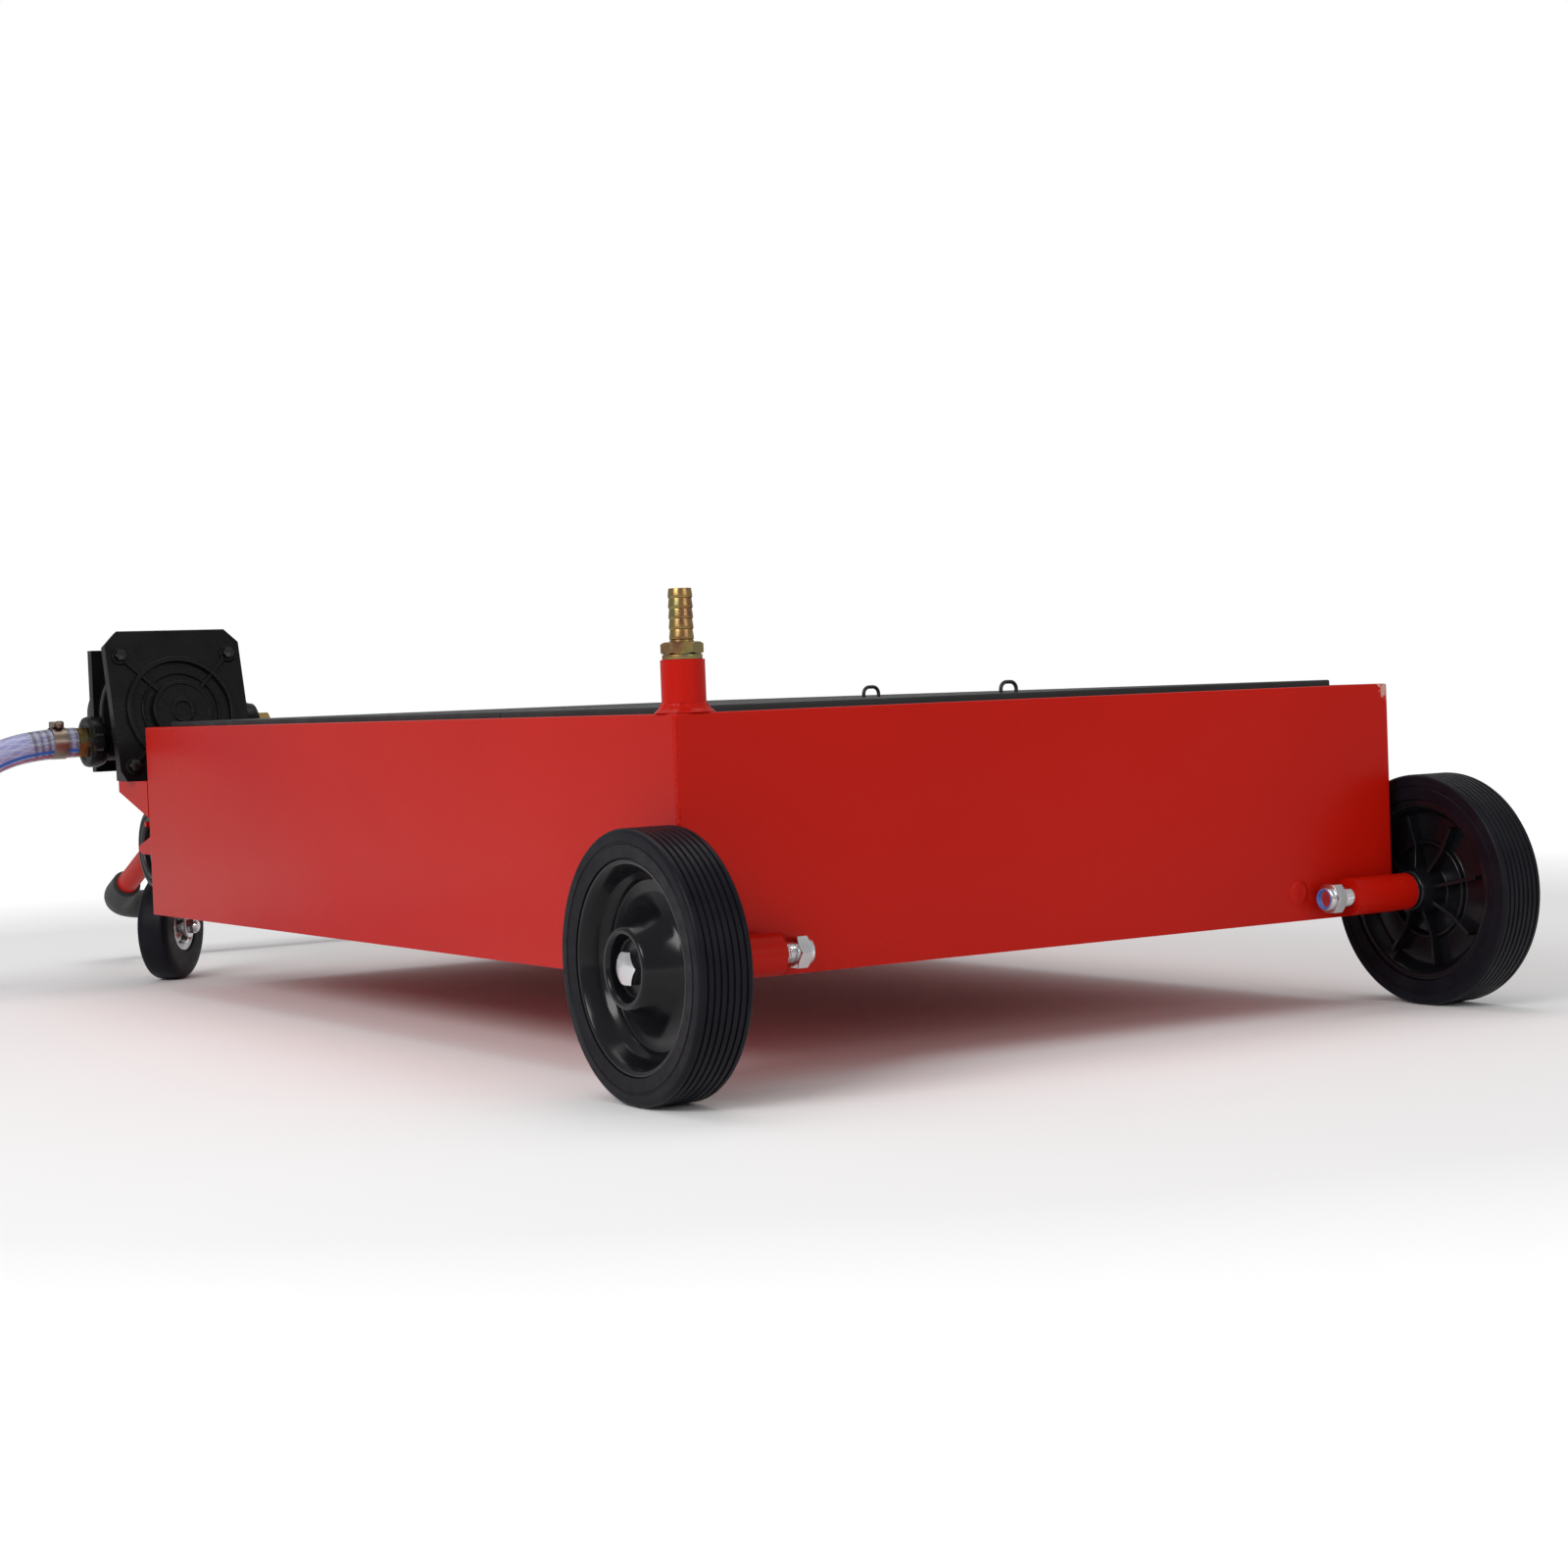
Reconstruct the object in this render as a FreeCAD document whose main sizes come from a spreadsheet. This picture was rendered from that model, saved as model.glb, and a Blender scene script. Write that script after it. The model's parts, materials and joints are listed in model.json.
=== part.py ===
"""Low waste-oil drain tank on wheels, with an electric transfer pump on its rear end.

Frame: +X towards the end with the two fixed wheels, +Y towards the far long side, +Z up, millimetres.
The origin is on the floor, below the centre of the box round everything but the hose and the lead.
"""
import FreeCAD, Part
import Sketcher
import math
import os

from FreeCAD import Placement, Rotation, Vector

doc = FreeCAD.newDocument("drain_tank")

# Driving dimensions: alias, value in millimetres (or degrees), meaning.
DIMENSIONS = [
    ("tank_length", 1115, "outside length of the pan"),
    ("tank_width", 730, "outside width of the pan"),
    ("tank_depth", 201, "outside depth of the pan"),
    ("tank_bottom", 83, "underside of the pan above the floor"),
    ("sheet", 2, "sheet steel of the pan"),
    ("pan_corner", 4, "radius of the pan's folded corners"),
    ("hem_depth", 12, "height of the hem inside the rim"),
    ("hem_thick", 3, "thickness of the hem inside the rim"),
    ("wheel_radius", 101.5, "eight inch fixed wheel"),
    ("wheel_width", 45, "width of a fixed wheel's tyre"),
    ("wheel_gap", 12, "from the pan's side to a fixed wheel"),
    ("tyre_seat", 80, "radius where the tyre sits on the hub"),
    ("hub_seat", 38.4, "bolt head's seat from the wheel's inner face"),
    ("tyre_shoulder", 4, "rounding of a fixed wheel's tyre"),
    ("axle_radius", 8, "M16 axle bolt"),
    ("axle_hex", 13.8, "circumradius of the axle bolt's head and nut"),
    ("axle_head", 9.5, "head of the axle bolt"),
    ("axle_shank", 148.4, "shank of the axle bolt"),
    ("axle_nut", 11, "hexagon of the axle's lock nut"),
    ("axle_nut_in", 84.5, "lock nut's face from the pan's side"),
    ("axle_nut_collar", 4, "nylon collar of the lock nut"),
    ("washer_radius", 15, "axle washer"),
    ("axle_out", 16, "axle centre in front of the pan's end"),
    ("axle_tube_radius", 16, "outside of the axle tube"),
    ("axle_tube_length", 68.5, "length of the axle tube"),
    ("axle_tube_short", 3, "axle tube short of the pan's side"),
    ("running_gap", 0.06, "radial clearance of a turning fit"),
    ("washer_thick", 2.7, "washer between axle tube and wheel"),
    ("pipe_radius", 16.85, "one inch suction pipe"),
    ("pipe_bore", 13.85, "inside of the suction pipe"),
    ("pipe_inset", 22, "suction pipe centre from both walls"),
    ("pipe_above", 40, "suction pipe above the rim"),
    ("weld_height", 8, "fillet weld round the suction pipe"),
    ("weld_foot", 7, "foot of that weld"),
    ("pipe_lift", 15, "suction pipe above the pan's floor"),
    ("barb_radius", 9.25, "ridges of the suction barb"),
    ("barb_root", 8.6, "between the ridges"),
    ("barb_pitch", 7.75, "from ridge to ridge"),
    ("barb_bore", 6.5, "bore of the suction barb"),
    ("barb_hex", 16, "circumradius of the barb's hexagon"),
    ("screen_top", 289, "top of the screens above the floor"),
    ("screen_skirt", 12, "folded edge of a screen"),
    ("screen_sheet", 2, "sheet of the screens"),
    ("screen_side_gap", 22, "from a screen to the pan's outside"),
    ("screen_front_gap", 50, "from the filter screen to the front end"),
    ("screen_split", 322, "front end to the joint of the screens"),
    ("ledge_width", 28, "ledge the screens rest on"),
    ("ledge_thick", 3, "ledge the screens rest on"),
    ("loop_wire", 1.6, "radius of the lifting loops' wire"),
    ("loop_half", 8, "half the width of a lifting loop"),
    ("loop_height", 9, "lifting loop above its screen"),
    ("loop_bend", 6, "bend of a lifting loop"),
    ("shelf_top", 226, "top of the pump shelf above the floor"),
    ("shelf_reach", 88, "pump shelf beyond the rear end"),
    ("shelf_width", 150, "pump shelf along the end"),
    ("shelf_sheet", 3, "sheet of the shelf and its gussets"),
    ("cover_width", 154, "front cover of the pump"),
    ("cover_height", 169, "front cover of the pump"),
    ("cover_thick", 12, "front cover of the pump"),
    ("cover_chamfer", 15, "cut corners of the front cover"),
    ("cover_eye", 0.45, "height of the cover's rings, as a share"),
    ("cover_screw_side", 62, "cover screws from its middle"),
    ("cover_lean", 14, "degrees the cover leans back"),
    ("cover_out", 33.5, "cover's lower edge beyond the rear end"),
    ("pump_side", 62, "pump axis from the pan's near side"),
    ("pump_height", 300, "pump axis above the floor"),
    ("pump_radius", 66, "round pump casting"),
    ("chamber_radius", 36, "inside of the pump chamber"),
    ("rotor_radius", 30, "vane rotor"),
    ("shaft_radius", 8, "pump and motor shaft"),
    ("flange_out", 136, "rear flange beyond the rear end"),
    ("flange_thick", 12, "rear flange of the pump"),
    ("motor_radius", 42, "motor housing"),
    ("motor_length", 74, "motor housing"),
    ("fan_cover_length", 18, "fan cover"),
    ("port_out", 115, "port axis beyond the rear end"),
    ("port_height", 270, "near port axis above the floor"),
    ("far_port_height", 279, "far port axis above the floor"),
    ("port_radius", 21.6, "cast port boss"),
    ("port_collar", 27, "round middle of a port's flange"),
    ("port_bore", 11, "bore of the ports"),
    ("stem_radius", 9.5, "stem of the inlet fitting"),
    ("stem_length", 58, "stem of the inlet fitting"),
    ("port_face_near", 17, "near port boss past the pan's side"),
    ("port_face_far", 160, "far port boss from the pan's near side"),
    ("port_flange", 9, "oval flange on a port"),
    ("port_bolt_shift", 27.5, "port bolts from the port's axis"),
    ("hose_radius", 16.5, "one inch hose, outside"),
    ("clamp_width", 16, "worm clamp's band"),
    ("fitting_hex", 18.5, "circumradius of the hose fittings"),
    ("mount_top", 150, "top of the caster mounts"),
    ("mount_thick", 4, "caster mount plate"),
    ("mount_reach", 185, "caster mount beyond the rear end"),
    ("swivel_out", 135, "swivel axis beyond the rear end"),
    ("swivel_in", 80, "swivel axis from the pan's side"),
    ("caster_radius", 59, "caster wheel"),
    ("caster_width", 36, "caster tyre"),
    ("caster_shoulder", 6, "rounding of a caster tyre"),
    ("caster_trail", 24, "caster axle behind the swivel axis"),
    ("caster_seat", 27, "radius where the caster tyre sits"),
    ("king_radius", 6, "M12 kingpin"),
    ("race_radius", 25, "ball race of a caster"),
    ("race_upper", 6, "upper half of the ball race"),
    ("race_lower", 7, "lower half of the ball race"),
    ("race_gap", 0.3, "between the halves of the ball race"),
    ("fork_width", 46, "outside width of a caster's fork"),
    ("fork_sheet", 3, "sheet of a caster's fork"),
    ("caster_axle", 5, "M10 caster axle"),
    ("handle_radius", 12.5, "handle tube"),
    ("handle_wall", 2, "wall of the handle tube"),
    ("handle_in", 95, "handle leg from the pan's side"),
    ("hinge_out", 165, "handle hinge beyond the rear end"),
    ("hinge_height", 177, "handle hinge above the floor"),
    ("handle_reach", 412, "grip axis beyond the rear end"),
    ("grip_height", 66, "grip axis above the floor"),
    ("grip_radius", 17, "foam grip"),
    ("grip_start", 0.72, "share of a handle leg above the grip"),
    ("handle_stub", -0.06, "handle leg past its hinge, as a share"),
    ("handle_bend", 46, "bend radius of the handle tube"),
    ("pin_radius", 4, "handle pins"),
    ("pin_head_in", 76, "pin's head from the pan's side"),
    ("pin_length", 38, "handle pins"),
    ("hook_radius", 3, "hook for the lead"),
    ("hook_height", 178, "hook above the floor"),
    ("hook_side", 47, "hook from the pan's near side"),
    ("lead_radius", 3.5, "power lead"),
    ("lead_coil_out", 45, "hanging coil of the lead, outside"),
    ("lead_coil_in", 30, "hanging coil of the lead, inside"),
    ("lead_coil_thick", 22, "hanging coil of the lead"),
    ("lead_coil_height", 152, "centre of the lead's coil"),
    ("lead_coil_reach", 49, "middle of the lead's coil beyond the rear end"),
    ("lead_coil_side", 31, "middle of the lead's coil from the pan's near side"),
    ("hose_turn", 190, "radius of the hose's outer turn on the floor"),
    ("hose_coil_in", 122, "hose coil on the floor, inside"),
    ("hose_reach", 405, "middle of the hose's coil out from the pan's near side"),
    ("floor_gap", 0.5, "hose coil above the floor"),
    ("plug_long", 30, "body of the plug"),
    ("plug_wide", 26, "body of the plug"),
    ("plug_high", 16, "body of the plug"),
    ("boot_long", 18, "boot of the plug"),
    ("blade_long", 14, "blades of the plug"),
]

sheet = doc.addObject("Spreadsheet::Sheet", "Dimensions")
for row, (alias, value, meaning) in enumerate(DIMENSIONS, start=1):
    sheet.set(f"A{row}", meaning)
    sheet.set(f"B{row}", str(value))
    sheet.setAlias(f"B{row}", alias)
doc.recompute()


def cell(alias):
    """Number in the sheet under this alias."""
    return float(sheet.get(alias))


def in_sheet(formula):
    """Formula with each alias written as a reference to its cell."""
    words = []
    for word in formula.split():
        words.append(f"Dimensions.{word}" if word in ALIASES else word)
    return " ".join(words)


ALIASES = {alias for alias, _, _ in DIMENSIONS}

# Places that many pieces share.
TANK_X = (cell("handle_reach") + cell("grip_radius") - cell("axle_out") - cell("wheel_radius")) / 2
FRONT = TANK_X + cell("tank_length") / 2
REAR = TANK_X - cell("tank_length") / 2
HALF = cell("tank_width") / 2
RIM = cell("tank_bottom") + cell("tank_depth")
SIDES = (("near", -1), ("far", 1))
X_AXIS = (1, 0, 0)
Y_AXIS = (0, 1, 0)
Z_AXIS = (0, 0, 1)


def behind(out, inward, height):
    """Point given by its distance beyond the rear end, in from the near side, and above the floor."""
    return Vector(REAR - out, inward - HALF, height)


def bind(feature, prop, formula):
    feature.setExpression(prop, in_sheet(formula))


def block(name, sizes, corner):
    """Box with three size formulas, its lowest corner at a point."""
    piece = doc.addObject("Part::Box", name)
    for prop, formula in zip(("Length", "Width", "Height"), sizes):
        bind(piece, prop, formula)
    piece.Placement.Base = Vector(*corner)
    return piece


def rod(name, radius, length, start, axis=Z_AXIS):
    """Cylinder with formulas for radius and length."""
    piece = doc.addObject("Part::Cylinder", name)
    bind(piece, "Radius", radius)
    bind(piece, "Height", length)
    piece.Placement = Placement(Vector(*start), Rotation(Vector(*Z_AXIS), Vector(*axis)))
    return piece


def hexagon(name, circumradius, length, start, axis=Z_AXIS):
    """Hexagonal prism, as on a bolt head or a nut."""
    piece = doc.addObject("Part::Prism", name)
    piece.Polygon = 6
    bind(piece, "Circumradius", circumradius)
    bind(piece, "Height", length)
    piece.Placement = Placement(Vector(*start), Rotation(Vector(*Z_AXIS), Vector(*axis)))
    return piece


def cut(name, base, *tools):
    """Base with every tool taken out of it."""
    for index, tool in enumerate(tools):
        piece = doc.addObject("Part::Cut", name if index == len(tools) - 1 else f"{name}_step{index}")
        piece.Base = base
        piece.Tool = tool
        base = piece
    return base


def fuse(name, *pieces):
    piece = doc.addObject("Part::MultiFuse", name)
    piece.Shapes = list(pieces)
    return piece


def group(name, *pieces):
    """Several separate solids in one node."""
    piece = doc.addObject("Part::Compound", name)
    piece.Links = list(pieces)
    return piece


def ring(name, outer, inner, length, start, axis=Z_AXIS):
    """Tube or washer: one cylinder cut out of another."""
    outside = rod(f"{name}_outside", outer, length, start, axis)
    inside = rod(f"{name}_inside", inner, length, start, axis)
    return cut(name, outside, inside)


def sketch_polygon(body, corners):
    """Closed polygon in a body's XY plane, every corner held by two formulas."""
    sketch = body.newObject("Sketcher::SketchObject", f"{body.Name}_sketch")
    plane = [o for o in body.Origin.OriginFeatures if o.Role == "XY_Plane"][0]
    sketch.AttachmentSupport = (plane, [""])
    sketch.MapMode = "FlatFace"
    # A probe row of plain lengths gives every corner its first place; the formulas then hold it.
    guesses = []
    for across, along in corners:
        bind(probe, "Length", f"{across} + 1000")
        bind(probe, "Width", f"{along} + 1000")
        doc.recompute([probe])
        guesses.append(Vector(probe.Length.Value - 1000, probe.Width.Value - 1000, 0))
    for start, end in zip(guesses, guesses[1:] + guesses[:1]):
        sketch.addGeometry(Part.LineSegment(start, end), False)
    count = len(corners)
    for index, (across, along) in enumerate(corners):
        before = (index - 1) % count
        sketch.addConstraint(Sketcher.Constraint("Coincident", before, 2, index, 1))
        across_id = sketch.addConstraint(Sketcher.Constraint("DistanceX", -1, 1, index, 1, guesses[index].x))
        bind(sketch, f"Constraints[{across_id}]", across)
        along_id = sketch.addConstraint(Sketcher.Constraint("DistanceY", -1, 1, index, 1, guesses[index].y))
        bind(sketch, f"Constraints[{along_id}]", along)
    return sketch


def turned(name, profile, start, axis, rounding=()):
    """Body of revolution: the profile's corners are (radius, distance along the axis).

    Each rounding is (radius of the edge, distance along the axis, fillet alias).
    """
    body = doc.addObject("PartDesign::Body", name)
    sketch = sketch_polygon(body, profile)
    spin = body.newObject("PartDesign::Revolution", f"{name}_revolution")
    spin.Profile = sketch
    spin.ReferenceAxis = (sketch, ["V_Axis"])
    spin.Angle = 360
    if rounding:
        doc.recompute()
    for index, (radius, along, fillet) in enumerate(rounding):
        tip = body.Tip
        names = [f"Edge{i}" for i, edge in enumerate(tip.Shape.Edges, start=1)
                 if is_circle(edge, radius, along)]
        rounded = body.newObject("PartDesign::Fillet", f"{name}_fillet{index}")
        rounded.Base = (tip, names)
        rounded.Radius = fillet
        doc.recompute()
    body.Placement = Placement(Vector(*start), Rotation(Vector(*Y_AXIS), Vector(*axis)))
    return body


def is_circle(edge, radius, along):
    """True for a circular edge of this radius at this distance along a turned body."""
    if not isinstance(edge.Curve, Part.Circle):
        return False
    return abs(edge.Curve.Radius - radius) < 0.01 and abs(edge.Curve.Center.y - along) < 0.01


def plate(name, outline, thickness, placement):
    """Flat plate: its outline lies in the local XY plane and it is padded along local Z."""
    body = doc.addObject("PartDesign::Body", name)
    sketch = sketch_polygon(body, outline)
    pad = body.newObject("PartDesign::Pad", f"{name}_pad")
    pad.Profile = sketch
    bind(pad, "Length", thickness)
    body.Placement = placement
    return body


def rounded_edges(name, base, radius, choose):
    """Fillet on those edges of the base that the test picks."""
    doc.recompute()
    piece = doc.addObject("Part::Fillet", name)
    piece.Base = base
    piece.Edges = [(i, radius, radius) for i, edge in enumerate(base.Shape.Edges, start=1) if choose(edge)]
    return piece


def is_upright(edge):
    ends = [vertex.Point for vertex in edge.Vertexes]
    return len(ends) == 2 and abs(ends[0].x - ends[1].x) + abs(ends[0].y - ends[1].y) < 0.001


def bent_path(points, share=None, radius=None):
    """Straight runs joined by tangent arcs, and the arcs' radii.

    Each arc has either the given radius or a share of its shorter run over the tangent of half its turn.
    """
    corners = [Vector(*point) for point in points]
    edges = []
    radii = []
    start = corners[0]
    for before, corner, after in zip(corners, corners[1:], corners[2:]):
        into = (corner - before).normalize()
        out = (after - corner).normalize()
        half = into.getAngle(out) / 2
        if radius is None:
            setback = share * min((corner - before).Length, (after - corner).Length)
        else:
            setback = radius * math.tan(half)
        arc_radius = setback / math.tan(half)
        radii.append(arc_radius)
        first = corner - into * setback
        last = corner + out * setback
        inward = (out - into).normalize()
        middle = corner + inward * (arc_radius / math.cos(half) - arc_radius)
        edges.append(Part.LineSegment(start, first).toShape())
        edges.append(Part.Arc(first, middle, last).toShape())
        start = last
    edges.append(Part.LineSegment(start, corners[-1]).toShape())
    return Part.Wire(edges), radii


def pipe_shape(path, radius):
    """Solid round bar along a path."""
    first = path.Edges[0]
    start = first.valueAt(first.FirstParameter)
    heading = first.tangentAt(first.FirstParameter)
    section = Part.Wire([Part.Circle(start, heading, radius).toShape()])
    return path.makePipeShell([section], True, True)


def shaped(name, shape):
    """Feature whose shape comes from Part's own functions."""
    piece = doc.addObject("Part::Feature", name)
    piece.Shape = shape
    return piece


probe = doc.addObject("Part::Box", "formula_probe")
nodes = []


def node(piece):
    """Register a finished sub-part; its label names its file."""
    piece.Label = piece.Name
    nodes.append(piece)
    return piece


# ---------------------------------------------------------------- pan

def build_pan():
    corner = (REAR, -HALF, cell("tank_bottom"))
    outside = block("pan_outside", ("tank_length", "tank_width", "tank_depth"), corner)
    outside = rounded_edges("pan_rounded", outside, cell("pan_corner"), is_upright)
    sheet_thick = cell("sheet")
    inside = block("pan_inside", ("tank_length - 2 * sheet", "tank_width - 2 * sheet", "tank_depth"),
                   (REAR + sheet_thick, -HALF + sheet_thick, cell("tank_bottom") + sheet_thick))
    walls = cut("pan_walls", outside, inside)
    hem_low = RIM - cell("hem_depth")
    hem_outside = block("hem_outside", ("tank_length - 2 * sheet", "tank_width - 2 * sheet", "hem_depth"),
                        (REAR + sheet_thick, -HALF + sheet_thick, hem_low))
    lip = sheet_thick + cell("hem_thick")
    hem_inside = block("hem_inside", ("tank_length - 2 * sheet - 2 * hem_thick",
                                      "tank_width - 2 * sheet - 2 * hem_thick", "hem_depth"),
                       (REAR + lip, -HALF + lip, hem_low))
    hem = cut("pan_hem", hem_outside, hem_inside)
    shell = fuse("pan_joined", walls, hem)

    def is_rim(edge):
        box = edge.BoundBox
        on_outside = abs(abs(box.YMin) - HALF) < 0.01 or abs(box.XMin - REAR) < 0.01
        on_outside = on_outside or abs(box.XMax - FRONT) < 0.01 or abs(abs(box.YMax) - HALF) < 0.01
        return box.ZMin > RIM - 0.01 and on_outside

    node(rounded_edges("tank_shell", shell, cell("sheet") * 0.9, is_rim))


def build_ledges():
    low = cell("screen_top") - cell("screen_skirt") - cell("ledge_thick") - 0.3
    lip = cell("sheet") + cell("hem_thick")
    long_side = "tank_length - 2 * sheet - 2 * hem_thick - 60"
    near = block("ledge_near", (long_side, "ledge_width", "ledge_thick"), (REAR + lip, -HALF + lip, low))
    far = block("ledge_far", (long_side, "ledge_width", "ledge_thick"),
                (REAR + lip, HALF - lip - cell("ledge_width"), low))
    node(group("screen_ledges", near, far))


def build_suction():
    x = FRONT - cell("pipe_inset")
    y = -HALF + cell("pipe_inset")
    low = cell("tank_bottom") + cell("sheet") + cell("pipe_lift")
    node(ring("suction_tube", "pipe_radius", "pipe_bore", "tank_depth - sheet - pipe_lift + pipe_above",
              (x, y, low)))
    bead = doc.addObject("Part::Cone", "bead_cone")
    bind(bead, "Radius1", "pipe_radius + weld_foot")
    bind(bead, "Radius2", "pipe_radius + 0.8")
    bind(bead, "Height", "weld_height")
    bead.Placement.Base = Vector(x, y, RIM)
    hole = rod("bead_hole", "pipe_radius", "20", (x, y, RIM - 5))
    node(cut("suction_weld", bead, hole))

    top = RIM + cell("pipe_above")
    profile = [("barb_bore", "0"), ("pipe_radius - 1.5", "0"), ("pipe_radius - 1.5", "3.7"),
               ("barb_root", "3.7"), ("barb_root", "14.5")]
    ridges = 5
    for ridge in range(ridges):
        base = f"14.5 + {ridge} * barb_pitch"
        profile.append(("barb_radius", f"{base} + 1"))
        profile.append(("barb_radius", f"{base} + 2.5"))
        profile.append(("barb_root", f"{base} + barb_pitch"))
    profile.append(("barb_bore", f"14.5 + {ridges} * barb_pitch"))
    stem = turned("suction_stem", profile, (x, y, top), Z_AXIS)
    nut = hexagon("suction_hex", "barb_hex", "9.4", (x, y, top + 3.7))
    nut_bore = rod("suction_hex_bore", "barb_bore", "20", (x, y, top))
    node(fuse("suction_barb", stem, cut("suction_nut", nut, nut_bore)))


def build_drain_plug():
    x = FRONT - 90
    y = -HALF + 90
    low = cell("tank_bottom")
    head = hexagon("plug_hex", "11", "7", (x, y, low - 10))
    washer = rod("plug_flange", "15", "3", (x, y, low - 3))
    node(fuse("drain_plug", head, washer))


# ---------------------------------------------------------------- fixed wheels

def build_fixed_wheels():
    axle_x = FRONT + cell("axle_out")
    axle_z = cell("wheel_radius")
    bore = "axle_radius + running_gap"
    bolts = []
    nuts = []
    washers = []
    for side, sign in SIDES:
        out = (0, sign, 0)
        inward = (0, -sign, 0)
        tube_end = (axle_x, sign * (HALF - cell("axle_tube_short")), axle_z)
        node(ring(f"axle_tube_{side}", "axle_tube_radius", "axle_radius", "axle_tube_length", tube_end, inward))
        wheel_face = (axle_x, sign * (HALF + cell("wheel_gap")), axle_z)
        hub_profile = [(bore, "-11.5"), ("17", "-11.5"), ("20", "0"), ("22", "14"), ("69", "14"), ("73", "3"),
                       ("tyre_seat", "3"), ("tyre_seat", "wheel_width - 3"), ("75", "wheel_width - 3"),
                       ("66", "24"), ("63", "21"), ("50", "20"), ("38", "34"), ("30", "49"), ("25", "49"),
                       ("23", "hub_seat"), (bore, "hub_seat")]
        node(turned(f"wheel_hub_{side}", hub_profile, wheel_face, out))
        tyre_profile = [("tyre_seat", "0"), ("wheel_radius", "0"), ("wheel_radius", "wheel_width"),
                        ("tyre_seat", "wheel_width")]
        radius = cell("wheel_radius")
        shoulder = cell("tyre_shoulder")
        shoulders = ((radius, 0, shoulder), (radius, cell("wheel_width"), shoulder))
        node(turned(f"wheel_tyre_{side}", tyre_profile, wheel_face, out, shoulders))
        washers.append(ring(f"axle_washer_{side}", "washer_radius", "axle_radius", "washer_thick", tube_end, out))
        head_face = (axle_x, sign * (HALF + cell("wheel_gap") + cell("hub_seat")), axle_z)
        head = hexagon(f"axle_head_{side}", "axle_hex", "axle_head", head_face, out)
        shank = rod(f"axle_shank_{side}", "axle_radius", "axle_shank", head_face, inward)
        bolts.append(fuse(f"axle_bolt_{side}", head, shank))
        nut_face = (axle_x, sign * (HALF - cell("axle_nut_in")), axle_z)
        nut = hexagon(f"axle_nut_outside_{side}", "axle_hex", "axle_nut", nut_face, inward)
        collar = rod(f"axle_nut_collar_{side}", "axle_nut", "axle_nut + axle_nut_collar", nut_face, inward)
        thread = rod(f"axle_nut_thread_{side}", "axle_radius", "30", nut_face, inward)
        nuts.append(cut(f"axle_nut_{side}", fuse(f"axle_nut_body_{side}", nut, collar), thread))
    for bolt in bolts:
        node(bolt)
    node(group("axle_nuts", *nuts))
    node(group("axle_washers", *washers))


# ---------------------------------------------------------------- casters

def build_casters():
    turns = {"near": -43.9, "far": 34.0}
    for side, sign in SIDES:
        build_mount(side, sign)
        place = Placement(Vector(REAR - cell("swivel_out"), sign * (HALF - cell("swivel_in")), 0),
                          Rotation(Vector(*Z_AXIS), turns[side]))
        build_caster(side, place)


def build_mount(side, sign):
    """Tapered plate welded to the rear end, with a rib and the two ears of the handle's hinge."""
    low = cell("mount_top") - cell("mount_thick")
    # Local X runs away from the tank and local Y in from its side; local Z is up on the far side only.
    flip = Rotation(Vector(-1, 0, 0), Vector(0, -sign, 0), Vector(0, 0, sign), "XYZ")
    base = Vector(REAR, sign * HALF, low if sign > 0 else cell("mount_top"))
    outline = [("0", "46"), ("mount_reach", "56"), ("mount_reach", "125"), ("0", "125")]
    floor = plate(f"mount_floor_{side}", outline, "mount_thick", Placement(base, flip))
    # The rib's outline is in the XZ plane: away from the tank, and up.
    upright = Rotation(Vector(-1, 0, 0), Vector(0, 0, 1), Vector(0, 1, 0), "XYZ")
    rib_y = sign * (HALF - 125) - (4 if sign < 0 else 0)
    rib = plate(f"mount_rib_{side}", [("0", "0"), ("120", "0"), ("0", "50")], "4",
                Placement(Vector(REAR, rib_y, cell("mount_top")), upright))
    ears = []
    for index, inward in enumerate((79, 108)):
        ear_y = sign * (HALF - inward) + (-3 if sign > 0 else 0)
        ear = plate(f"ear_{side}_{index}", [("150", "0"), ("180", "0"), ("180", "32"), ("173", "40"),
                                            ("157", "40"), ("150", "32")], "3",
                    Placement(Vector(REAR, ear_y, cell("mount_top")), upright))
        ears.append(ear)
    hole = rod(f"mount_hole_{side}", "king_radius", "20",
               (REAR - cell("swivel_out"), sign * (HALF - cell("swivel_in")), low - 5))
    pin_hole = rod(f"ear_hole_{side}", "pin_radius", "60",
                   (REAR - cell("hinge_out"), sign * (HALF - 65), cell("hinge_height")), (0, -sign, 0))
    node(cut(f"caster_mount_{side}", fuse(f"mount_welded_{side}", floor, rib, *ears), hole, pin_hole))


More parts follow.
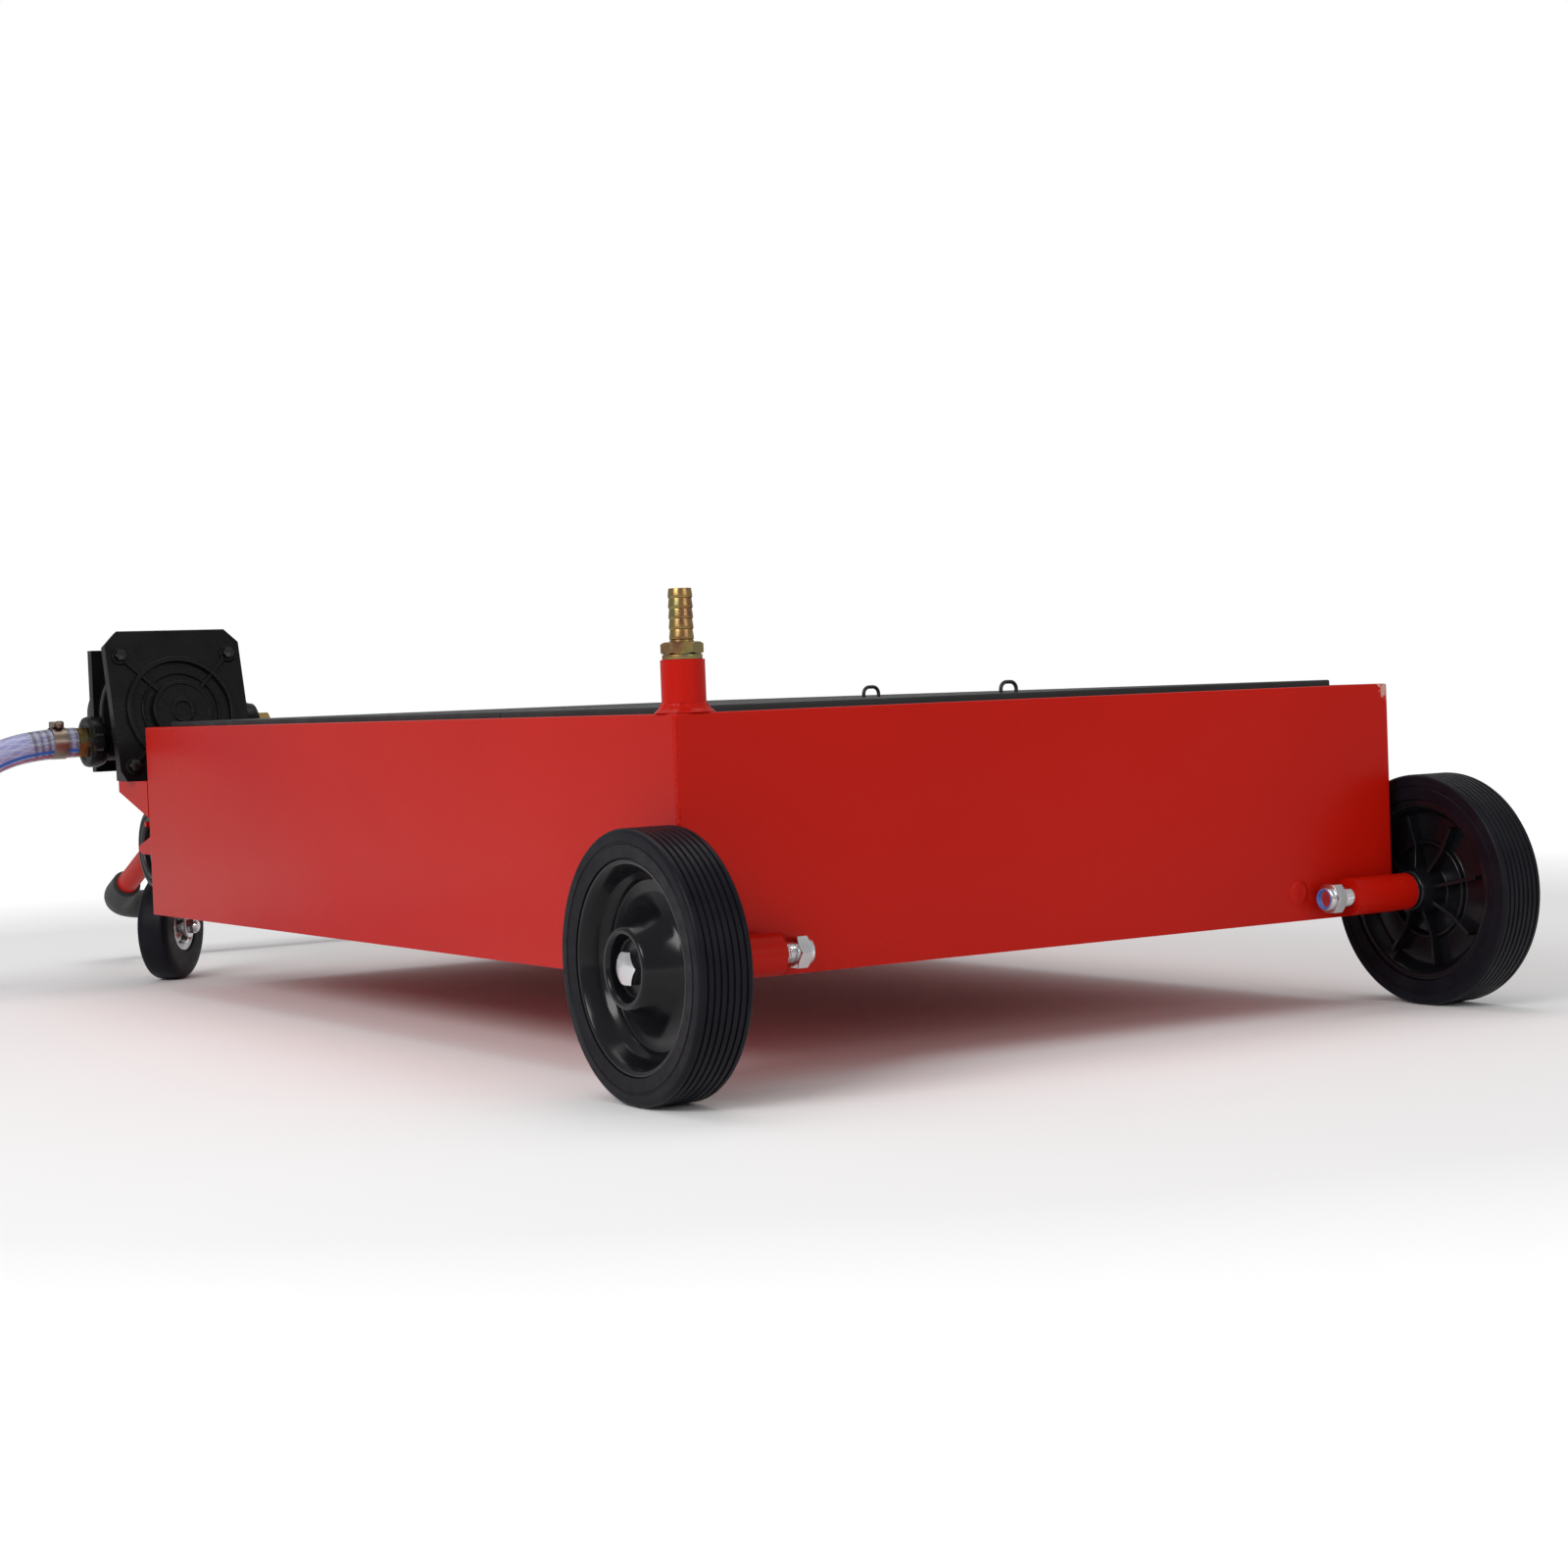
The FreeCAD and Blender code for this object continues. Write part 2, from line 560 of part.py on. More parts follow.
def build_caster(side, place):
    """Swivel caster in its own frame: swivel axis on Z, trailing along +X, axle along Y."""
    low = cell("mount_top") - cell("mount_thick")
    wheel_x = cell("caster_trail")
    wheel_z = cell("caster_radius")

    def put(piece):
        piece.Placement = place.multiply(piece.Placement)
        return piece

    race = rod(f"king_race_{side}", "race_radius", "race_upper", (0, 0, low - cell("race_upper")))
    shank = rod(f"king_shank_{side}", "king_radius", "40", (0, 0, low - 20))
    head = hexagon(f"king_head_{side}", "10", "6", (0, 0, low - 20))
    nut = hexagon(f"king_nut_{side}", "10.5", "10", (0, 0, cell("mount_top")))
    pieces = [put(piece) for piece in (race, shank, head, nut)]
    node(fuse(f"caster_kingpin_{side}", *pieces))

    crown_low = low - cell("race_upper") - cell("race_gap") - cell("race_lower")
    half = cell("fork_width") / 2
    crown = rod(f"crown_{side}", "race_radius", "race_lower", (0, 0, crown_low))
    bridge = block(f"fork_bridge_{side}", ("46", "fork_width", "fork_sheet"), (-18, -half, crown_low))
    legs = []
    for index, outer in enumerate((cell("fork_sheet") - half, half)):
        lay = Placement(Vector(0, outer, 0), Rotation(Vector(1, 0, 0), Vector(0, 0, 1), Vector(0, -1, 0), "XYZ"))
        outline = [("-18", str(crown_low)), ("caster_trail - 12", str(wheel_z)),
                   ("caster_trail - 8", f"{wheel_z} - 11"), ("caster_trail + 8", f"{wheel_z} - 11"),
                   ("caster_trail + 12", str(wheel_z)), ("28", str(crown_low)),
                   ("28", f"{crown_low} + 3"), ("-18", f"{crown_low} + 3")]
        legs.append(plate(f"fork_leg_{side}_{index}", outline, "fork_sheet", lay))
    bore = rod(f"fork_bore_{side}", "king_radius + running_gap", "30", (0, 0, crown_low - 10))
    axle_hole = rod(f"fork_axle_hole_{side}", "caster_axle", "80", (wheel_x, -40, wheel_z), Y_AXIS)
    pieces = [put(piece) for piece in (crown, bridge, *legs)]
    put(bore)
    put(axle_hole)
    node(cut(f"caster_fork_{side}", fuse(f"fork_welded_{side}", *pieces), bore, axle_hole))

    shank = rod(f"caster_shank_{side}", "caster_axle", "62", (wheel_x, -29, wheel_z), Y_AXIS)
    head = hexagon(f"caster_head_{side}", "9", "6", (wheel_x, -half - 6, wheel_z), Y_AXIS)
    nut = hexagon(f"caster_nut_{side}", "9", "8", (wheel_x, half, wheel_z), Y_AXIS)
    pieces = [put(piece) for piece in (shank, head, nut)]
    node(fuse(f"caster_axle_{side}", *pieces))

    face = Vector(wheel_x, -cell("caster_width") / 2, wheel_z)
    bore = "caster_axle + running_gap"
    rim_profile = [(bore, "-1"), ("9", "-1"), ("9", "12"), ("20", "12"), ("22", "2"), ("caster_seat", "2"),
                   ("caster_seat", "caster_width - 2"), ("22", "caster_width - 2"), ("20", "22"), ("9", "22"),
                   ("9", "caster_width + 1"), (bore, "caster_width + 1")]
    node(put(turned(f"caster_rim_{side}", rim_profile, face, Y_AXIS)))
    tyre_profile = [("caster_seat", "0"), ("caster_radius", "0"), ("caster_radius", "caster_width"),
                    ("caster_seat", "caster_width")]
    radius = cell("caster_radius")
    shoulder = cell("caster_shoulder")
    shoulders = ((radius, 0, shoulder), (radius, cell("caster_width"), shoulder))
    node(put(turned(f"caster_tyre_{side}", tyre_profile, face, Y_AXIS, shoulders)))


# ---------------------------------------------------------------- screens

def build_screens():
    width = "tank_width - 2 * screen_side_gap"
    inner_width = f"{width} - 2 * screen_sheet"
    filter_length = "screen_split - screen_front_gap"
    cover_length = "tank_length - screen_split - screen_side_gap - 1"
    top = cell("screen_top")
    low = top - cell("screen_skirt")
    y = -HALF + cell("screen_side_gap")
    thick = cell("screen_sheet")
    places = (("filter_screen", filter_length, FRONT - cell("screen_split")),
              ("cover_screen", cover_length, REAR + cell("screen_side_gap")))
    for name, length, x in places:
        outside = block(f"{name}_outside", (length, width, "screen_skirt"), (x, y, low))
        hollow = block(f"{name}_hollow", (f"{length} - 2 * screen_sheet", inner_width,
                                          "screen_skirt - screen_sheet"), (x + thick, y + thick, low))
        node(cut(name, outside, hollow))
    loops = []
    for index, inward in enumerate((71, 271)):
        loops.append(wire_loop(f"loop_{index}", FRONT - inward, 0, top))
    node(group("screen_loops", *loops))


def wire_loop(name, x, y, z):
    """Small lifting loop of bent wire that stands on a screen."""
    half = cell("loop_half")
    height = cell("loop_height")
    points = [(x, y - half, z), (x, y - half, z + height), (x, y + half, z + height), (x, y + half, z)]
    path, _ = bent_path(points, radius=cell("loop_bend"))
    return shaped(name, pipe_shape(path, cell("loop_wire")))


# ---------------------------------------------------------------- pump

def lean():
    """Placement of the pump's front cover: local X across, local Y up, local Z towards the tank."""
    stand = Rotation(Vector(0, 1, 0), Vector(0, 0, 1), Vector(1, 0, 0), "XYZ")
    tilt = Rotation(Vector(*Y_AXIS), -cell("cover_lean"))
    base = behind(cell("cover_out"), cell("pump_side"), cell("shelf_top"))
    return Placement(base, tilt.multiply(stand))


def build_shelf():
    low = cell("shelf_top") - cell("shelf_sheet")
    floor = block("shelf_floor", ("shelf_reach", "shelf_width", "shelf_sheet"),
                  (REAR - cell("shelf_reach"), -HALF, low))
    upright = Rotation(Vector(-1, 0, 0), Vector(0, 0, 1), Vector(0, 1, 0), "XYZ")
    gussets = []
    for index, inward in enumerate((0, cell("shelf_width") - cell("shelf_sheet"))):
        outline = [("0", "0"), ("shelf_reach", "0"), ("shelf_reach", "-9"), ("0", "-36")]
        gussets.append(plate(f"shelf_gusset_{index}", outline, "shelf_sheet",
                             Placement(Vector(REAR, inward - HALF, low), upright)))
    joined = fuse("shelf_welded", floor, *gussets)
    holes = [rod(f"shelf_hole_{i}", "4", "20", place) for i, place in enumerate(foot_places(low - 5))]
    node(cut("pump_shelf", joined, *holes))


def foot_places(height):
    """Four foot bolts of the pump."""
    return [behind(out, inward, height) for out in (57, 77) for inward in (12, 112)]


def build_cover():
    half = "cover_width / 2"
    side = f"{half} - cover_chamfer"
    top = "cover_height - cover_chamfer"
    outline = [(f"0 - {half} + 6", "0"), (f"{half} - 6", "0"), (half, "12"), (half, top), (side, "cover_height"),
               (f"0 - ( {side} )", "cover_height"), (f"0 - {half}", top), (f"0 - {half}", "12")]
    place = lean()
    slab = plate("cover_slab", outline, "cover_thick",
                 place.multiply(Placement(Vector(0, 0, -cell("cover_thick")), Rotation())))
    centre = (0, cell("cover_height") * cell("cover_eye"), 0)
    boss = rod("cover_boss", "34", "7", centre)
    rim_outer = rod("cover_rim_outer", "62", "4", centre)
    rim_inner = rod("cover_rim_inner", "57", "4", centre)
    raised = [boss, rim_outer, rim_inner]
    for piece in raised:
        piece.Placement = place.multiply(piece.Placement)
    rim = cut("cover_rim", rim_outer, rim_inner)
    below = block("cover_below", ("120", "200", "20"),
                  behind(90, cell("pump_side") - 100, cell("shelf_top") - 20))
    node(cut("pump_front_cover", fuse("cover_joined", slab, boss, rim), below))
    screws = []
    places = [(sign * cell("cover_screw_side"), up) for up in (16, 140) for _, sign in SIDES]
    for index, (across, up) in enumerate(places):
        screw = hexagon(f"cover_screw_{index}", "6.5", "5", (across, up, 0))
        screw.Placement = place.multiply(screw.Placement)
        screws.append(screw)
    node(group("pump_cover_screws", *screws))


def build_pump_body():
    axis = (-1, 0, 0)
    side = cell("pump_side")
    height = cell("pump_height")
    casting = rod("casting_round", "pump_radius", "flange_out - 20", behind(20, side, height), axis)
    flange = block("casting_flange", ("flange_thick", "140", "135"),
                   behind(cell("flange_out") + cell("flange_thick"), side - 70, 236))
    foot = block("casting_foot", ("54", "124", "26"), behind(94, side - 62, cell("shelf_top")))
    out = cell("port_out")
    near_port = rod("casting_port_near", "port_radius", "port_face_near + pump_side",
                    behind(out, side, cell("port_height")), (0, -1, 0))
    far_port = rod("casting_port_far", "port_radius", "port_face_far - pump_side",
                   behind(out, side, cell("far_port_height")), Y_AXIS)
    joined = fuse("casting_joined", casting, flange, foot, near_port, far_port)
    # Everything in front of the leaning cover's back face is taken away.
    front = doc.addObject("Part::Box", "casting_front")
    front.Length = 400
    front.Width = 600
    front.Height = 300
    front.Placement = lean().multiply(Placement(Vector(-200, -200, -cell("cover_thick")), Rotation()))
    chamber = rod("chamber", "chamber_radius", "flange_out - 62", behind(62, side, height), axis)
    shaft_hole = rod("shaft_hole", "shaft_radius + running_gap", "60", behind(120, side, height), axis)
    outlet = rod("outlet_port_bore", "port_bore", "120", behind(out, side, cell("port_height")), (0, -1, 0))
    inlet = rod("inlet_port_bore", "port_bore", "120", behind(out, side, cell("far_port_height")), Y_AXIS)
    bolt_holes = [rod(f"foot_hole_{i}", "4", "60", place) for i, place in enumerate(foot_places(200))]
    node(cut("pump_body", joined, front, chamber, shaft_hole, outlet, inlet, *bolt_holes))

    bolts = []
    for index, place in enumerate(foot_places(cell("shelf_top") - 3 - 6)):
        nut = hexagon(f"foot_nut_{index}", "7.5", "6", place)
        shank = rod(f"foot_shank_{index}", "4", "3 + 6 + 24", place)
        bolts.append(fuse(f"foot_bolt_{index}", nut, shank))
    node(group("pump_foot_bolts", *bolts))


def build_ports():
    """Oval flanges bolted on both ports, their bolts, and the brass fittings."""
    out = cell("port_out")
    thick = cell("port_flange")
    shifts = (-cell("port_bolt_shift"), cell("port_bolt_shift"))
    near_face = -cell("port_face_near")
    far_face = cell("port_face_far")
    near_height = cell("port_height")
    far_height = cell("far_port_height")
    flanges = []
    bolts = []
    for side, face, height, sign in (("near", near_face, near_height, -1), ("far", far_face, far_height, 1)):
        axis = (0, sign, 0)
        disc = rod(f"port_disc_{side}", "port_collar", "port_flange", behind(out, face, height), axis)
        lobes = [rod(f"port_lobe_{side}_{i}", "10", "port_flange", behind(out + shift, face, height), axis)
                 for i, shift in enumerate(shifts)]
        bore = rod(f"port_flange_bore_{side}", "port_bore", "40", behind(out, face - sign * 10, height), axis)
        flanges.append(cut(f"port_flange_{side}", fuse(f"port_flange_solid_{side}", disc, *lobes), bore))
        for index, shift in enumerate(shifts):
            place = behind(out + shift, face + sign * thick, height)
            bolts.append(hexagon(f"port_bolt_{side}_{index}", "6", "5", place, axis))
    node(group("pump_port_flanges", *flanges))
    node(group("pump_port_bolts", *bolts))

    outlet = hexagon("outlet_hex", "fitting_hex", "12", behind(out, near_face - thick, near_height), (0, -1, 0))
    outlet_bore = rod("outlet_bore", "port_bore", "40", behind(out, near_face, near_height), (0, -1, 0))
    node(cut("pump_outlet_fitting", outlet, outlet_bore))
    inlet = hexagon("inlet_hex", "fitting_hex", "18", behind(out, far_face + thick, far_height), Y_AXIS)
    stem = rod("inlet_stem", "stem_radius", "stem_length", behind(out, far_face + thick, far_height), Y_AXIS)
    bore = rod("inlet_bore", "6.5", "90", behind(out, far_face - 10, far_height), Y_AXIS)
    node(cut("pump_inlet_fitting", fuse("inlet_solid", inlet, stem), bore))


def build_motor():
    axis = (-1, 0, 0)
    side = cell("pump_side")
    height = cell("pump_height")
    start = cell("flange_out") + cell("flange_thick")
    node(ring("motor_housing", "motor_radius", "motor_radius - 6", "motor_length",
              behind(start, side, height), axis))
    cover_start = start + cell("motor_length")
    shell = rod("fan_cover_shell", "motor_radius", "fan_cover_length", behind(cover_start, side, height), axis)
    hollow = rod("fan_cover_hollow", "motor_radius - 2", "fan_cover_length - 2",
                 behind(cover_start, side, height), axis)
    vents = [rod(f"fan_vent_{i}", "4", "30", behind(cover_start, side + 24 * math.cos(i * math.pi / 4),
                                                   height + 24 * math.sin(i * math.pi / 4)), axis)
             for i in range(8)]
    node(cut("fan_cover", shell, hollow, *vents))
    shaft = rod("rotor_shaft", "shaft_radius", "146", behind(70, side, height), axis)
    rotor = rod("rotor_drum", "rotor_radius", "54", behind(74, side, height), axis)
    armature = rod("rotor_armature", "26", "54", behind(start + 8, side, height), axis)
    node(fuse("pump_rotor", shaft, rotor, armature))
    hub = rod("fan_hub", "14", "8", behind(cover_start + 3, side, height), axis)
    blades = []
    for index in range(6):
        blade = block(f"fan_blade_{index}", ("7", "32", "2"), (0, 0, -1))
        turn = Rotation(Vector(*X_AXIS), index * 60)
        blade.Placement = Placement(behind(cover_start + 10, side, height), turn)
        blades.append(blade)
    node(fuse("motor_fan", hub, *blades))
    box_place = behind(start + 62, side - 23, height + cell("motor_radius") - 5)
    box = block("switch_box_block", ("50", "46", "34"), box_place)
    barrel = rod("switch_box_barrel", "motor_radius", "200", behind(start - 20, side, height), axis)
    pocket = block("switch_box_pocket", ("26", "18", "14"), box_place + Vector(12, 14, 22))
    node(cut("switch_box", box, barrel, pocket))
    rocker = block("rocker_block", ("22", "15", "11"), box_place + Vector(14, 15.5, 25))
    rocker = rounded_edges("rocker_rounded", rocker, 1.5, is_upright)
    trunnion = rod("rocker_trunnion", "1.5", "17.4", box_place + Vector(25, 14.3, 31), Y_AXIS)
    node(fuse("rocker_switch", rocker, trunnion))


# ---------------------------------------------------------------- handle

def handle_points(start_share):
    """Centre line of the handle, from a share of the near leg to the same share of the far leg."""
    hinge = behind(cell("hinge_out"), cell("handle_in"), cell("hinge_height"))
    corner = behind(cell("handle_reach"), cell("handle_in"), cell("grip_height"))
    start = hinge + (corner - hinge) * start_share
    return [start, corner, Vector(corner.x, -corner.y, corner.z), Vector(start.x, -start.y, start.z)]


def build_handle():
    path, _ = bent_path(handle_points(cell("handle_stub")), radius=cell("handle_bend"))
    outside = shaped("handle_outside", pipe_shape(path, cell("handle_radius")))
    inside = shaped("handle_inside", pipe_shape(path, cell("handle_radius") - cell("handle_wall")))
    hinge = behind(cell("hinge_out"), 60, cell("hinge_height"))
    bore = rod("handle_bore", "pin_radius + running_gap", "tank_width - 120", hinge, Y_AXIS)
    node(cut("handle_tube", outside, inside, bore))
    path, _ = bent_path(handle_points(cell("grip_start")), radius=cell("handle_bend"))
    foam = shaped("grip_outside", pipe_shape(path, cell("grip_radius")))
    core = shaped("grip_core", pipe_shape(path, cell("handle_radius")))
    node(cut("handle_grip", foam, core))
    pins = []
    for side, sign in SIDES:
        start = (hinge.x, sign * (HALF - cell("pin_head_in")), hinge.z)
        axis = (0, -sign, 0)
        head = rod(f"pin_head_{side}", "7", "3", start, axis)
        shank = rod(f"pin_shank_{side}", "pin_radius", "pin_length", start, axis)
        pins.append(fuse(f"pin_{side}", head, shank))
    node(group("handle_pins", *pins))


# ---------------------------------------------------------------- hose and lead

def cord(name, points, radius):
    """Free stretch of a hose or lead: straight runs with arcs as large as the runs allow."""
    path, radii = bent_path(points, share=0.45)
    shape = pipe_shape(path, radius)
    print(name, "length", round(path.Length), "radii", [round(r) for r in radii],
          "volume ratio", round(shape.Volume / (math.pi * radius ** 2 * path.Length), 3))
    return shaped(name, shape)


def build_hose():
    out = cell("port_out")
    height = cell("port_height")
    turn = cell("hose_turn")
    start = -cell("port_face_near") - cell("port_flange") - 12.2
    route = [(start, height), (-90, height), (-146, 250), (-196, 213), (-234, 162), (-262, 106), (-298, 58),
             (-348, 27), (-cell("hose_reach"), 17)]
    node(cord("discharge_hose", [behind(out, inward, up) for inward, up in route], cell("hose_radius")))

    clamp_start = behind(out, -50, height)
    band = ring("clamp_band", "hose_radius + 1.4", "hose_radius", "clamp_width", clamp_start, (0, -1, 0))
    screw = rod("clamp_screw", "4", "18", behind(out + 9, -58, height + 21.5), X_AXIS)
    node(fuse("hose_clamp", band, screw))

    centre = behind(out + turn, -cell("hose_reach"), cell("floor_gap"))
    coil = rounded_coil("hose_coil_ring", centre, Z_AXIS, turn + cell("hose_radius"), cell("hose_coil_in"),
                        2 * cell("hose_radius"), 9)
    # The fitting at the end of the hose lies against the inside of its coil.
    slot = block("hose_coil_slot", ("78", "39", "40"), centre + Vector(-37, 100, -2))
    node(cut("hose_coil", coil, slot))
    fitting_start = centre + Vector(-36, 120, 16.5)
    nut = hexagon("end_hex", "18", "14", fitting_start, X_AXIS)
    spout = rod("end_spout", "11", "58", fitting_start, X_AXIS)
    bore = rod("end_bore", "7", "70", fitting_start, X_AXIS)
    node(cut("hose_end_fitting", fuse("end_solid", nut, spout), bore))


def rounded_coil(name, centre, axis, outer, inner, thick, rounding):
    """Closed solid with the outer shape of a coil."""
    disc = Part.makeCylinder(outer, thick, Vector(*centre), Vector(*axis))
    hole = Part.makeCylinder(inner, thick, Vector(*centre), Vector(*axis))
    solid = disc.cut(hole)
    circles = [edge for edge in solid.Edges if len(edge.Vertexes) == 1]
    return shaped(name, solid.makeFillet(rounding, circles))


def build_lead():
    side = cell("pump_side")
    relief_top = behind(170, side, cell("pump_height") - cell("motor_radius") + 1)
    relief = doc.addObject("Part::Cone", "relief_cone")
    bind(relief, "Radius1", "lead_radius + 5")
    bind(relief, "Radius2", "lead_radius + 1.5")
    relief.Height = 23
    relief.Placement = Placement(relief_top, Rotation(Vector(*Z_AXIS), Vector(0, 0, -1)))
    barrel = rod("relief_barrel", "motor_radius", "200", behind(100, side, cell("pump_height")), (-1, 0, 0))
    node(cut("lead_strain_relief", relief, barrel))

    # From the relief to the top of the coil, and from there over the hook down to the plug.
    route = [(170, 62, relief_top.z - 23.2), (170, 62, 222), (158, 59, 207), (128, 52, 199), (95, 45, 196),
             (66, 40, 193.5), (49, 38.5, 193)]
    tail = [(49, 38.5, 185.5), (30, 41, 185.5), (16, 48, 186), (10, 58, 182), (13, 70, 172), (24, 76, 163),
            (43.8, 77, 158.5)]
    runs = [cord(name, [behind(*point) for point in points], cell("lead_radius"))
            for name, points in (("lead_run", route), ("lead_tail", tail))]
    node(group("power_lead", *runs))

    thick = cell("lead_coil_thick")
    hang = cell("lead_coil_reach")
    centre = behind(hang, cell("lead_coil_side") - thick / 2, cell("lead_coil_height"))
    node(rounded_coil("lead_coil", centre, Y_AXIS, cell("lead_coil_out"), cell("lead_coil_in"), thick, 7))

    beside = cell("hook_side")
    up = cell("hook_height")
    path, _ = bent_path([behind(0, beside, up), behind(hang, beside, up), behind(hang, 14, up)], radius=7)
    node(shaped("cable_hook", pipe_shape(path, cell("hook_radius"))))
    upright = Rotation(Vector(-1, 0, 0), Vector(0, 0, 1), Vector(0, 1, 0), "XYZ")
    outline = [("0", "146"), ("46", "146"), ("54", "149"), ("57.5", "152.5"), ("50", "156"), ("0", "171")]
    node(plate("lead_keeper", outline, "4", Placement(behind(0, 8, 0), upright)))

    # The plug lies on the near caster's mount, its blades away from the tank.
    plug_height = cell("mount_top") + cell("plug_high") / 2 + cell("floor_gap")
    body_start = 44 + cell("boot_long")
    body_end = body_start + cell("plug_long")
    boot = doc.addObject("Part::Cone", "plug_boot")
    bind(boot, "Radius1", "lead_radius + 1")
    bind(boot, "Radius2", "lead_radius + 4")
    bind(boot, "Height", "boot_long")
    boot.Placement = Placement(behind(44, 77, plug_height), Rotation(Vector(*Z_AXIS), Vector(-1, 0, 0)))
    body = block("plug_block", ("plug_long", "plug_wide", "plug_high"),
                 behind(body_end, 64, plug_height - cell("plug_high") / 2))
    body = rounded_edges("plug_body", body, 4, is_upright)
    blades = [block(f"plug_blade_{i}", ("blade_long", "1.5", "6"),
                    behind(body_end + cell("blade_long"), inward, plug_height - 3))
              for i, inward in enumerate((70, 83))]
    node(fuse("power_plug", body, boot, *blades))


build_pan()
build_ledges()
build_suction()
build_drain_plug()
build_fixed_wheels()
build_casters()
build_screens()
build_shelf()
build_cover()
build_pump_body()
build_ports()
build_motor()
build_handle()
build_hose()
build_lead()
doc.removeObject(probe.Name)
doc.recompute()

for feature in doc.Objects:
    if "Invalid" in feature.State or "Error" in feature.State:
        raise RuntimeError(f"{feature.Name} did not recompute: {feature.State}")
for piece in nodes:
    if piece.Shape.isNull() or not piece.Shape.isValid() or not piece.Shape.Solids:
        raise RuntimeError(f"{piece.Label} has no valid solid")

os.makedirs("parts", exist_ok=True)
for piece in nodes:
    piece.Shape.exportStep(f"parts/{piece.Label}.step")
print(len(nodes), "nodes written")
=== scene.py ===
"""Looks of the low waste-oil drain tank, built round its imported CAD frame. Metres, +X to the fixed wheels."""
import json
import math

import bpy
from mathutils import Matrix, Vector, noise


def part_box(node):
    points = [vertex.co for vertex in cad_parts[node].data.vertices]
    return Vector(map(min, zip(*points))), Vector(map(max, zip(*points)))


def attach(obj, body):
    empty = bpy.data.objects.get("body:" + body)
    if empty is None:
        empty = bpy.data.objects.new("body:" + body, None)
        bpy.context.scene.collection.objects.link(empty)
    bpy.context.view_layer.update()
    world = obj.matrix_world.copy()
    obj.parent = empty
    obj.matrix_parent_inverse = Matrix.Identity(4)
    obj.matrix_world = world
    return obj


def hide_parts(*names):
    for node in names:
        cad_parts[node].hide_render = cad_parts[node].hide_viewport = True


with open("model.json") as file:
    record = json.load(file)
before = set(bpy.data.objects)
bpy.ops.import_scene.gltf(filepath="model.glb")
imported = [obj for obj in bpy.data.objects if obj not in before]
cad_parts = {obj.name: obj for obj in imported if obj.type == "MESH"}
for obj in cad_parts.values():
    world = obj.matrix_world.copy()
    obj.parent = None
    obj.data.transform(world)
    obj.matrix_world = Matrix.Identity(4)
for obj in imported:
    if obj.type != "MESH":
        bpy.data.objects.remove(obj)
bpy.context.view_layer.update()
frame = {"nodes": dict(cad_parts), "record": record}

MM = 0.001
TURN = 2 * math.pi

# Places read from the frame.
PAN_LOW, PAN_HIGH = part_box("tank_shell")
REAR, FRONT = PAN_LOW.x, PAN_HIGH.x
NEAR, FAR = PAN_LOW.y, PAN_HIGH.y
RIM = PAN_HIGH.z
X_AXIS, Y_AXIS, Z_AXIS = Vector((1, 0, 0)), Vector((0, 1, 0)), Vector((0, 0, 1))
SIDES = (("near", -1), ("far", 1))
WALLS = {"near": NEAR, "far": FAR}

# The pump's shaft and ports, in the millimetres that behind() takes.
PUMP_INWARD, SHAFT_HEIGHT = 62, 300
PORT_OUT, OUTLET_HEIGHT, INLET_HEIGHT = 115, 270, 279

SHARP_ANGLE = math.radians(38)

# The camera's place and directions in metres, and its lens in millimetres.
CAMERA_EYE = (2.47686, -1.41106, 0.2987)
CAMERA_AHEAD = (-0.83934, 0.54254, -0.03396)
CAMERA_UP = (-0.00785, 0.05037, 0.9987)
CAMERA_LENS = 63.81


def behind(out, inward, height):
    """Point given in millimetres beyond the rear end, in from the near side, and above the floor."""
    return Vector((REAR - out * MM, NEAR + inward * MM, height * MM))


def middle(node):
    """Middle of a node's box."""
    low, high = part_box(node)
    return (low + high) / 2


# ---------------------------------------------------------------- materials

